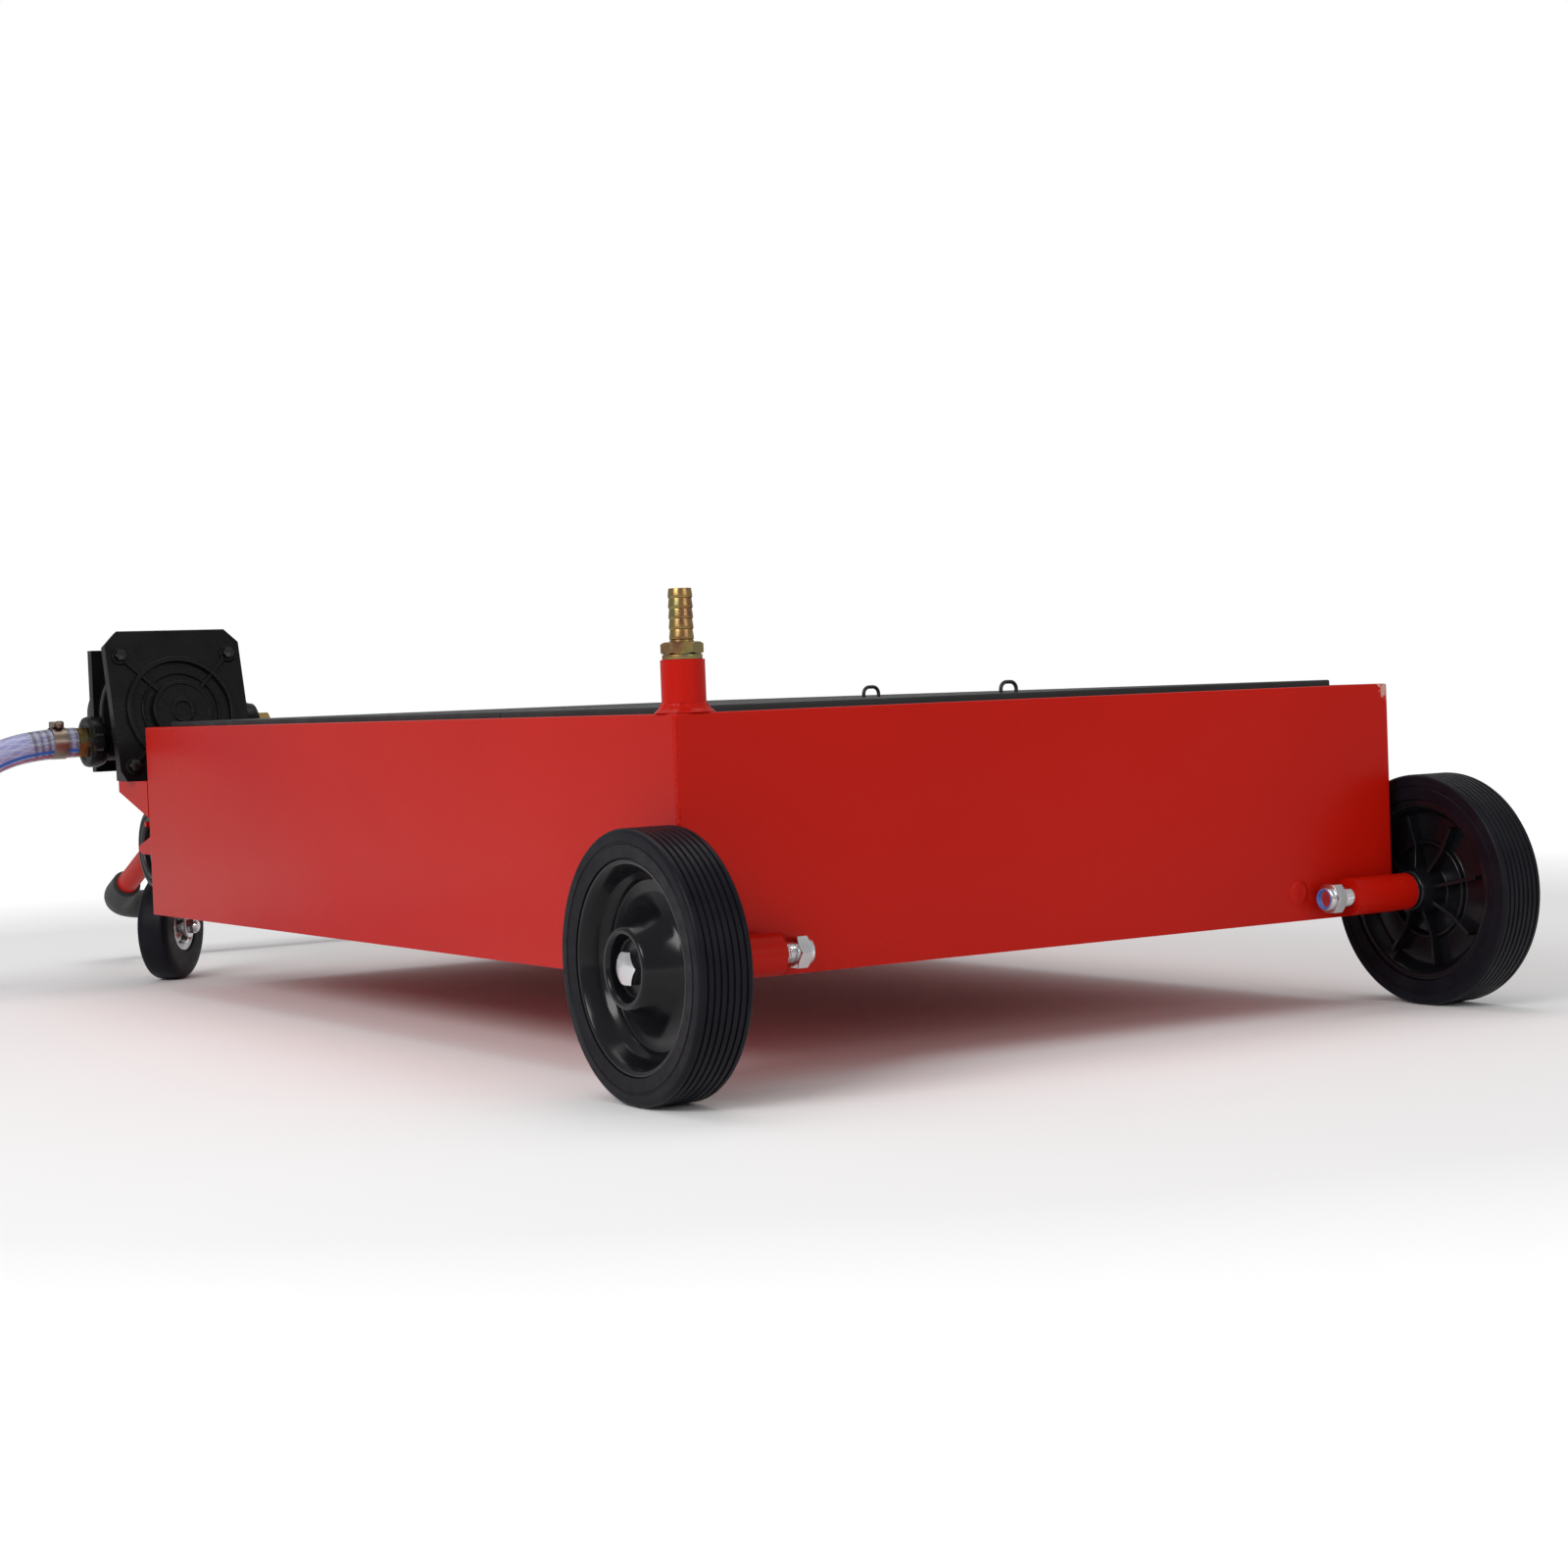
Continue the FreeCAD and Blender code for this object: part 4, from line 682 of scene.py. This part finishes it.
def build_fork(side, centre, along, axis, body):
    """Pressed fork: two tapered legs with rounded ends under a round ball race."""
    trail, crown, axle, tip_radius, thick, bevel = 24, 132.7, 59, 13, 3 * MM, 0.8 * MM
    steps = 10
    tip = [(trail + tip_radius * math.cos(a), axle + tip_radius * math.sin(a))
           for a in (math.pi + 0.25 + (math.pi - 0.5) * i / steps for i in range(steps + 1))]
    leg = mm([(-18, crown + 3), (-17, crown - 8)] + tip + [(30, crown - 10), (28, crown + 3)])
    swivel = centre - along * trail * MM
    for index, inner in enumerate((-20, 23)):
        corner = Vector((swivel.x, swivel.y, 0)) + axis * inner * MM
        used = (f"caster_fork_{side}",) if index == 0 else ()
        slab(f"fork_leg_{side}_{index}", leg, thick, placed(corner, along, Z_AXIS, -axis), BRIGHT, body,
             bevel, used)
    top = Vector((swivel.x, swivel.y, crown * MM))
    bridge = profile([(-18, -23), (28, -23), (28, 23), (-18, 23)], 3)
    slab(f"fork_bridge_{side}", bridge, thick, placed(top, along, axis, Z_AXIS), BRIGHT, body, bevel)
    race = profile([(6.1, 3), (17, 3), (24.5, 3), (25, 5.5), (22, 7), (6.1, 7)], 1.0)
    lathe(f"ball_race_{side}", race, top, Z_AXIS, BRIGHT, body, 64)


# ---------------------------------------------------------------- screens

def build_screens():
    for name in ("filter_screen", "cover_screen"):
        punched_screen(name, *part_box(name))


def punched_screen(name, low, high):
    """Folded sheet with rows of punched holes inside a plain border."""
    border, pitch, hole, thick, sides = 22 * MM, 13 * MM, 4.2 * MM, 2 * MM, 8
    field_x, field_y = high.x - low.x - 2 * border, high.y - low.y - 2 * border
    columns, rows = int(field_x / pitch), int(field_y / pitch)
    step_x, step_y = field_x / columns, field_y / rows
    verts, faces = [], []
    grid = {}

    def corner(column, row, level):
        key = (column, row, level)
        if key not in grid:
            grid[key] = len(verts)
            verts.append((low.x + border + column * step_x, low.y + border + row * step_y, level))
        return grid[key]

    for column in range(columns):
        for row in range(rows):
            centre_x = low.x + border + (column + 0.5) * step_x
            centre_y = low.y + border + (row + 0.5) * step_y
            rims = []
            for level in (high.z, high.z - thick):
                rim = []
                for side in range(sides):
                    angle = TURN * side / sides + math.pi / sides
                    rim.append(len(verts))
                    verts.append((centre_x + hole * math.cos(angle), centre_y + hole * math.sin(angle),
                                  level))
                rims.append(rim)
                # Corners in the order of the rim's quarters, starting in the first.
                square = [corner(column + 1, row + 1, level), corner(column, row + 1, level),
                          corner(column, row, level), corner(column + 1, row, level)]
                for quarter in range(4):
                    first, second, third = (rim[(quarter * 2 + step) % sides] for step in range(3))
                    ring = [(square[quarter], second, first),
                            (square[quarter], square[(quarter + 1) % 4], third, second)]
                    faces.extend(ring if level == high.z else [tuple(reversed(face)) for face in ring])
            for side in range(sides):
                after = (side + 1) % sides
                faces.append((rims[0][after], rims[0][side], rims[1][side], rims[1][after]))
    add_mesh(f"{name}_holes", verts, faces, SATIN, name, smooth=False, replaces=(name,))

    # The plain border is a closed frame round the holes, and its skirt hangs from the outer edge.
    drop = low.z - high.z
    fold = 1.6 * MM
    section = rounded([(border, 0), (border, -thick), (thick, -thick), (thick, drop), (0, drop),
                       (0, 0, fold)], 0.0)
    corners = [(low.x, low.y, 1, 1), (high.x, low.y, -1, 1), (high.x, high.y, -1, -1), (low.x, high.y, 1, -1)]
    verts, faces = [], []
    for x, y, toward_x, toward_y in corners:
        verts.extend((x + toward_x * into, y + toward_y * into, high.z + up) for into, up in section)
    count = len(section)
    for index in range(4):
        here, there = index * count, (index + 1) % 4 * count
        for step in range(count):
            after = (step + 1) % count
            faces.append((here + step, here + after, there + after, there + step))
    add_mesh(f"{name}_border", verts, faces, SATIN, name)


# ---------------------------------------------------------------- pan details

def build_welds():
    """Fillet round the suction pipe, beads on the corner, axle tubes, mounts and shelf, and the axle pad."""
    tube = middle("suction_tube")
    foot = profile([(16.5, 0.1), (23.4, 0.1), (21.9, 1.6), (19.9, 3.2), (18.4, 5.4), (17.6, 7.6),
                    (16.5, 7.9)], 0.8)
    bore = 17.5 * MM

    def section(angle):
        """The fillet with lumps outside its bore."""
        result = []
        for wide, along in foot:
            if wide >= bore:
                place = Vector((math.cos(angle) * 5, math.sin(angle) * 5, along * 120))
                wide += 1.1 * MM * noise.noise(place)
            result.append((wide, along))
        return result

    lathe("suction_fillet", section, Vector((tube.x, tube.y, RIM)), Z_AXIS, PAINT, "tank", 120,
          replaces=("suction_weld",))
    corner = Vector((FRONT - 1.5 * MM, NEAR + 1.5 * MM, 0))
    bead("corner_seam", corner + Z_AXIS * (PAN_LOW.z + 4 * MM), corner + Z_AXIS * (RIM - 4 * MM), 1.7 * MM)
    for side, sign in SIDES:
        low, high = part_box(f"axle_tube_{side}")
        inset = 14 if sign < 0 else 3
        for name, level in (("top", 9), ("low", -9)):
            start = Vector((FRONT + 2 * MM, low.y + inset * MM, middle(f"axle_tube_{side}").z + level * MM))
            bead(f"axle_bead_{side}_{name}", start, start + Y_AXIS * (high.y - low.y - 17 * MM), 2.6 * MM)
    mount_level = 151 * MM
    shelf_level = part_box("pump_shelf")[1].z - 4 * MM
    for name, node, level in (("mount_bead_near", "caster_mount_near", mount_level),
                              ("mount_bead_far", "caster_mount_far", mount_level),
                              ("shelf_bead", "pump_shelf", shelf_level)):
        low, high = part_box(node)
        start = Vector((REAR - 1.2 * MM, low.y + 4 * MM, level))
        bead(name, start, start + Y_AXIS * (high.y - low.y - 8 * MM), 2.2 * MM)
    # Low round pad pressed out beside the far axle tube.
    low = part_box("axle_tube_far")[0]
    dome = mm([(0.1, 0), (11, 0), (10, 0.9), (6, 1.5), (0.1, 1.7)])
    pad = Vector((FRONT - 0.2 * MM, low.y - 42 * MM, middle("axle_tube_far").z + 6 * MM))
    lathe("axle_pad", dome, pad, X_AXIS, PAINT, "tank", 48)


def build_barb():
    """Suction barb: chamfered hexagon, round collar and five sharp ridges."""
    tube = middle("suction_tube")
    foot = Vector((tube.x, tube.y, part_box("suction_barb")[0].z))
    collar = 3.7
    outline = [(6.5, 0), (15.2, 0), (15.2, collar), (9.2, collar), (9.2, 14.3)]
    for ridge in range(5):
        base = 14.5 + ridge * 7.75
        outline += [(8.45, base + 0.2), (9.25, base + 0.9), (9.25, base + 2.4), (8.6, base + 7.5)]
    outline += [(8.3, 53.2), (6.5, 53.2)]
    lathe("barb_stem", profile(outline, 0.35, 3), foot, Z_AXIS, YELLOW, "tank", 96,
          replaces=("suction_barb",))
    nut("barb_hexagon", 14 * MM, 9.4 * MM, 8.8 * MM, foot + Z_AXIS * collar * MM, Z_AXIS, YELLOW, "tank")


# ---------------------------------------------------------------- pump

def cover_matrix():
    """Pump cover's own axes: X across, Y up the leaning face, Z out of it."""
    lean = Matrix.Rotation(math.radians(-14), 4, "Y")
    foot = Matrix.Translation(behind(33.5, PUMP_INWARD, 226))
    return foot @ lean @ placed(Vector(), Y_AXIS, Z_AXIS, X_AXIS)


def build_cover():
    """Raised rings, diagonal ribs and screw bosses on the leaning front cover."""
    place = cover_matrix()
    out = place.to_3x3() @ Z_AXIS
    rings_up, rings_wide, boss_wide = 169 * 0.45, 62, 9
    centre = place @ Vector((0, rings_up * MM, 0))
    rings = (("outer", rings_wide, 56, 5.0), ("middle", 45, 42, 2.5), ("boss", 34, 29, 8.0),
             ("eye", 14, 9, 8.6))
    for name, outer, inner, height in rings:
        ring = profile([(inner, -1), (outer, -1), (outer, height), (inner, height)], 1.4)
        lathe(f"cover_ring_{name}", ring, centre, out, CAST, "tank", 96)
    boss = profile([(0.01, -1), (10, -1), (8.6, 3), (0.01, 3)], 0.8)
    for index, (across, height) in enumerate(((-62, 16), (62, 16), (-62, 140), (62, 140))):
        foot = place @ Vector((across * MM, height * MM, 0))
        lathe(f"cover_boss_{index}", boss, foot, out, CAST, "tank", 48)
        nut(f"cover_bolt_{index}", 5.6 * MM, 4.6 * MM, 0.0, foot + out * 3 * MM, out, BLACK_STEEL, "tank",
            both_ends=False, replaces=("pump_cover_screws",))
        toward = Vector((-across, rings_up - height))
        reach = toward.length - boss_wide - rings_wide + 36
        toward.normalize()
        start = (Vector((across, height)) + toward * boss_wide) * MM
        turn = Matrix.Rotation(math.atan2(toward.y, toward.x), 4, "Z")
        rib = profile([(-2, -2.2), (reach, -2.2), (reach, 2.2), (-2, 2.2)], 1.5)
        slab(f"cover_rib_{index}", rib, 3.4 * MM, place @ Matrix.Translation((*start, 0)) @ turn, CAST,
             "tank", 1.2 * MM)


def build_casting_rings():
    """Round flange behind the cover and rings on both ports."""
    flange = profile([(60, 0), (74, 0), (74, 9), (70, 11), (60, 11)], 1.6)
    lathe("casting_flange_ring", flange, behind(97, PUMP_INWARD, SHAFT_HEIGHT), -X_AXIS, CAST, "tank",
          96)
    collar = profile([(20, 0), (25, 0), (28, 7, 3), (28, 17, 5), (25.5, 19.8, 3), (19, 19.8, 1),
                      (19, 8)], 1.2)
    for name, start, sign, height in (("near", -7, -1, OUTLET_HEIGHT), ("far", 148, 1, INLET_HEIGHT)):
        lathe(f"port_collar_{name}", collar, behind(PORT_OUT, start, height), Y_AXIS * sign, CAST, "tank",
              64)


def build_fittings():
    half_flats = 16 * MM
    port_x = behind(PORT_OUT, 0, 0).x
    outlet = Vector((port_x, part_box("pump_outlet_fitting")[1].y, OUTLET_HEIGHT * MM))
    nut("outlet_nut", half_flats, 12 * MM, 10.5 * MM, outlet, -Y_AXIS, YELLOW, "tank",
        replaces=("pump_outlet_fitting",))
    inlet = Vector((port_x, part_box("pump_inlet_fitting")[0].y, INLET_HEIGHT * MM))
    nut("inlet_nut", half_flats, 18 * MM, 9 * MM, inlet, Y_AXIS, YELLOW, "tank")
    stem = [(6.5, 0), (9.5, 0), (9.5, 20)]
    for ridge in range(4):
        base = 22 + ridge * 8.5
        stem += [(8.4, base), (9.5, base + 1.5), (9.5, base + 3), (8.6, base + 8)]
    stem += [(8.4, 58), (6.5, 58)]
    lathe("inlet_stem", profile(stem, 0.4, 3), inlet, Y_AXIS, YELLOW, "tank", 64,
          replaces=("pump_inlet_fitting",))


def build_motor():
    """Finned motor housing."""
    low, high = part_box("motor_housing")
    fins, root, crest = 36, 38.2, 42
    outline = []
    for fin in range(fins):
        for share, radius in ((0.0, root), (0.18, crest), (0.42, crest), (0.60, root)):
            angle = TURN * (fin + share) / fins
            outline.append((radius * math.cos(angle), radius * math.sin(angle)))
    shaft = behind(0, PUMP_INWARD, SHAFT_HEIGHT)
    place = placed(Vector((low.x, shaft.y, shaft.z)), Y_AXIS, Z_AXIS, X_AXIS)
    slab("motor_fins", mm(outline), high.x - low.x, place, CAST, "tank", bevel=0.4 * MM,
         replaces=("motor_housing",))


# ---------------------------------------------------------------- handle

def handle_line():
    """Grip's centre line: down the near leg, round the bend, across, and back up the far leg."""
    hinge = behind(165, 95, 177)
    corner = behind(412, 95, 66)
    start = hinge.lerp(corner, 0.72)
    bend = 46 * MM
    leg_steps, bend_steps, across_steps = 6, 14, 30
    into = (corner - start).normalized()
    first = corner - into * bend
    line = [start.lerp(first, step / leg_steps) for step in range(leg_steps)]
    pivot = first + Y_AXIS * bend
    for step in range(bend_steps + 1):
        angle = math.pi / 2 * step / bend_steps
        line.append(pivot + into * bend * math.sin(angle) - Y_AXIS * bend * math.cos(angle))
    mirrored = [Vector((p.x, -p.y, p.z)) for p in reversed(line)]
    span = [line[-1].lerp(mirrored[0], step / across_steps) for step in range(1, across_steps)]
    return line + span + mirrored


def build_grip():
    line = handle_line()
    closing = 4 * MM / run_length(line)

    def rounded_ends(share, angle):
        edge = min(share, 1 - share) / closing
        ripple = 0.006 * noise.noise(Vector((share * 60, math.cos(angle) * 2, math.sin(angle) * 2)))
        return (0.80 + 0.20 * math.sqrt(1 - (1 - min(edge, 1)) ** 2)) + ripple

    # The first and last steps are cut finer, so that the ends close in a curve.
    fine = [line[0].lerp(line[1], share / 6) for share in range(6)] + line[1:-1]
    fine += [line[-2].lerp(line[-1], share / 6) for share in range(7)]
    sweep("foam_grip", fine, 17 * MM, FOAM, "handle", 40, replaces=("handle_grip",),
          shape=rounded_ends)


# ---------------------------------------------------------------- hose and lead

def route_curve(name, points, resolution):
    """Smooth NURBS line along a route."""
    data = bpy.data.curves.new(name, "CURVE")
    data.dimensions = "3D"
    data.resolution_u = resolution
    spline = data.splines.new("NURBS")
    spline.points.add(len(points) - 1)
    for place, point in zip(spline.points, points):
        place.co = (*point, 1)
    spline.order_u = 3
    spline.use_endpoint_u = True
    return data


def spline_points(points):
    """Points along the smooth line of a route."""
    holder = bpy.data.objects.new("route", route_curve("route", points, 10))
    line = bpy.data.meshes.new_from_object(holder)
    result = [v.co.copy() for v in line.vertices]
    bpy.data.objects.remove(holder)
    return result


def arc_points(centre, radius, start, end, count):
    """Points on a flat arc seen clockwise from above, without its first; angles are in half turns."""
    result = []
    for step in range(1, count + 1):
        angle = math.pi * (start + (end - start) * step / count)
        result.append(centre + Vector((radius * math.cos(angle), -radius * math.sin(angle), 0)))
    return result


def build_hose():
    """Discharge hose: out of the pump's near port, down to the floor, and wound there in a flat coil."""
    route = [(-38.2, 270), (-90, 270), (-146, 250), (-196, 213), (-234, 162), (-262, 106), (-298, 58),
             (-348, 27), (-405, 17)]
    points = [behind(PORT_OUT, inward, height) for inward, height in route]
    centre = behind(305, -405, 17)
    # Half turns about centres 17 mm apart wind inwards by a hose's width a turn; a tighter quarter ends them.
    for shift, radius, start, end, count in ((0, 190, 0, 1, 14), (17, 173, 1, 2, 14), (0, 156, 2, 3, 14),
                                             (36, 120, 3, 3.5, 7)):
        points += arc_points(centre - X_AXIS * shift * MM, radius * MM, start, end, count)
    end = points[-1].copy()
    points[-1] = end + X_AXIS * 2 * MM
    line = spline_points(points)
    hose = sweep("hose", line, 16.5 * MM, HOSE, "tank", 32, replaces=("discharge_hose", "hose_coil"))
    nut_piece = nut("hose_end_nut", 15.5 * MM, 14 * MM, 8 * MM, end, X_AXIS, YELLOW, "tank")
    spout = profile([(7, 0), (11, 0), (11, 54), (9.5, 58), (7, 58)], 0.8)
    spout_piece = lathe("hose_end_spout", spout, end, X_AXIS, YELLOW, "tank", 48,
                        replaces=("hose_end_fitting",))
    clamp = build_clamp()


def build_clamp():
    """Worm clamp: band, worm housing and screw."""
    centre = behind(PORT_OUT, -50, OUTLET_HEIGHT)
    top = centre + Vector((0, -8, 20.5)) * MM
    band = profile([(16.6, 0), (17.6, 0), (17.6, 16), (16.6, 16)], 0.3)
    housing = profile([(-8, -3.5), (8, -3.5), (8, 3.5), (-8, 3.5)], 2.5)
    place = placed(top + Y_AXIS * 6 * MM, X_AXIS, Z_AXIS, -Y_AXIS)
    return [
        lathe("clamp_band", band, centre, -Y_AXIS, CLAMP, "tank", 96, replaces=("hose_clamp",)),
        slab("clamp_housing", housing, 12 * MM, place, CLAMP, "tank", 0.6 * MM),
        nut("clamp_screw", 4 * MM, 4.5 * MM, 0.0, top + X_AXIS * 8 * MM, X_AXIS, CLAMP, "tank",
            both_ends=False)]


def build_lead():
    """Power lead: out of the motor, six turns on the hook, then down to the plug on the caster's mount."""
    route = [(170, 62, 235.8), (170, 62, 222), (158, 59, 207), (128, 52, 199), (95, 45, 196), (66, 40, 193.5)]
    points = [behind(*point) for point in route]
    # Each turn has its own lane: a radius and a distance in from the near side.
    lanes = [(41, 38.5), (41, 31), (41, 23.5), (33.5, 23.5), (33.5, 31), (33.5, 38.5)]
    per_turn = 14
    outward = 1.012    # the smooth line passes this much inside its points
    hang = behind(49, 0, 152)
    for turn, lane in enumerate(lanes):
        before = lanes[max(turn - 1, 0)]
        for step in range(per_turn):
            share = step / per_turn
            moved = min(max((share - 0.05) / 0.35, 0), 1)
            moved = moved * moved * (3 - 2 * moved)
            radius = (before[0] + (lane[0] - before[0]) * moved) * outward * MM
            inward = (before[1] + (lane[1] - before[1]) * moved) * MM
            angle = TURN * share
            points.append(Vector((hang.x + radius * math.sin(angle), NEAR + inward,
                                  hang.z + radius * math.cos(angle))))
    tail = [(49, 38.5, 185.8), (30, 41, 185.5), (16, 48, 186), (10, 58, 182), (13, 70, 172), (24, 76, 163),
            (40, 77, 158.5), (47, 77, 158.5)]
    points += [behind(*point) for point in tail]
    plug = build_plug()
    data = route_curve("lead", points, 8)
    data.bevel_depth = 3.5 * MM
    data.bevel_resolution = 5
    data.use_fill_caps = True
    data.materials.append(LEAD)
    lead = add_object("lead", data)
    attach(lead, "tank")
    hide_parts("power_lead", "lead_coil")
    length = run_length(spline_points(points))


def build_plug():
    """Moulded two-blade plug with a ribbed boot, lying with its blades away from the tank."""
    middle_in, height = 77, 158.5
    front = behind(62, middle_in, height)
    body = profile([(-8, -13), (8, -13), (8, 13), (-8, 13)], 5, 6)
    pieces = [slab("plug_body", body, 30 * MM, placed(front, Z_AXIS, Y_AXIS, -X_AXIS), MOULDED, "tank",
                   2 * MM, replaces=("power_plug",))]
    boot = [(3.4, 0), (7.4, 0)]
    for rib in range(5):
        radius, base = 7.2 - rib * 0.6, rib * 3.2
        boot += [(radius, 2 + base), (radius - 1.0, 3 + base), (radius - 1.0, 4.2 + base)]
    boot += [(4.6, 18), (3.4, 18)]
    pieces.append(lathe("plug_boot", profile(boot, 0.4, 2), front, X_AXIS, MOULDED, "tank",
                        32))
    blade = profile([(-3, 0), (3, 0), (3, 13.5, 1.5), (-3, 13.5, 1.5)], 0.4)
    for index, inward in enumerate((71.5, 84.5)):
        place = placed(behind(92, inward, height), Z_AXIS, -X_AXIS, -Y_AXIS)
        pieces.append(slab(f"plug_blade_{index}", blade, 1.5 * MM, place, PRONGS, "tank", 0.2 * MM))
    return pieces


# ---------------------------------------------------------------- stage

def build_stage():
    """Floor, white backdrop, three soft lights and the camera."""
    reach, sides = 3.0, 64
    data = bpy.data.meshes.new("floor")
    rim = [(reach * math.cos(TURN * i / sides), reach * math.sin(TURN * i / sides), 0) for i in range(sides)]
    data.from_pydata(rim, [], [tuple(range(sides))])
    data.materials.append(make_floor())
    add_object("floor", data)

    world = bpy.data.worlds.new("studio")
    bpy.context.scene.world = world
    world.use_nodes = True
    # The backdrop is white, but lights the tank only softly.
    tree = world.node_tree
    seen = tree.nodes.new("ShaderNodeLightPath").outputs["Is Camera Ray"]
    strength = tree.nodes.new("ShaderNodeMapRange")
    tree.links.new(seen, strength.inputs["Value"])
    strength.inputs["To Min"].default_value = 0.46
    strength.inputs["To Max"].default_value = 1.0
    backdrop = tree.nodes["Background"]
    backdrop.inputs["Color"].default_value = (1, 1, 1, 1)
    tree.links.new(strength.outputs["Result"], backdrop.inputs["Strength"])

    add_light("key", Vector((1.8, -3.8, 2.4)), Vector((0, -0.3, 0.2)), 2.4, 92)
    add_light("front_fill", Vector((4.2, 0.8, 1.6)), Vector((0.4, 0, 0.2)), 2.0, 16)
    add_light("top", Vector((-0.4, 0.2, 3.4)), Vector((0, 0, 0)), 3.0, 32)

    camera_data = bpy.data.cameras.new("camera")
    camera_data.lens = CAMERA_LENS
    camera = add_object("camera", camera_data)
    ahead = Vector(CAMERA_AHEAD).normalized()
    right = ahead.cross(Vector(CAMERA_UP)).normalized()
    camera.matrix_world = placed(Vector(CAMERA_EYE), right, right.cross(ahead), -ahead)
    bpy.context.scene.camera = camera
    bpy.context.scene.view_settings.view_transform = "Standard"


def add_light(name, place, target, size, power):
    """Rectangular soft light, aimed at a point."""
    data = bpy.data.lights.new(name, "AREA")
    data.shape = "RECTANGLE"
    data.size = size
    data.size_y = size * 0.6
    data.energy = power
    lamp = add_object(name, data)
    lamp.location = place
    lamp.rotation_euler = (target - place).to_track_quat("-Z", "Y").to_euler()


dress_nodes()
build_stage()
build_hose()
build_lead()
build_fixed_wheels()
build_axles()
build_casters()
build_screens()
build_welds()
build_barb()
build_cover()
build_casting_rings()
build_fittings()
build_motor()
build_grip()
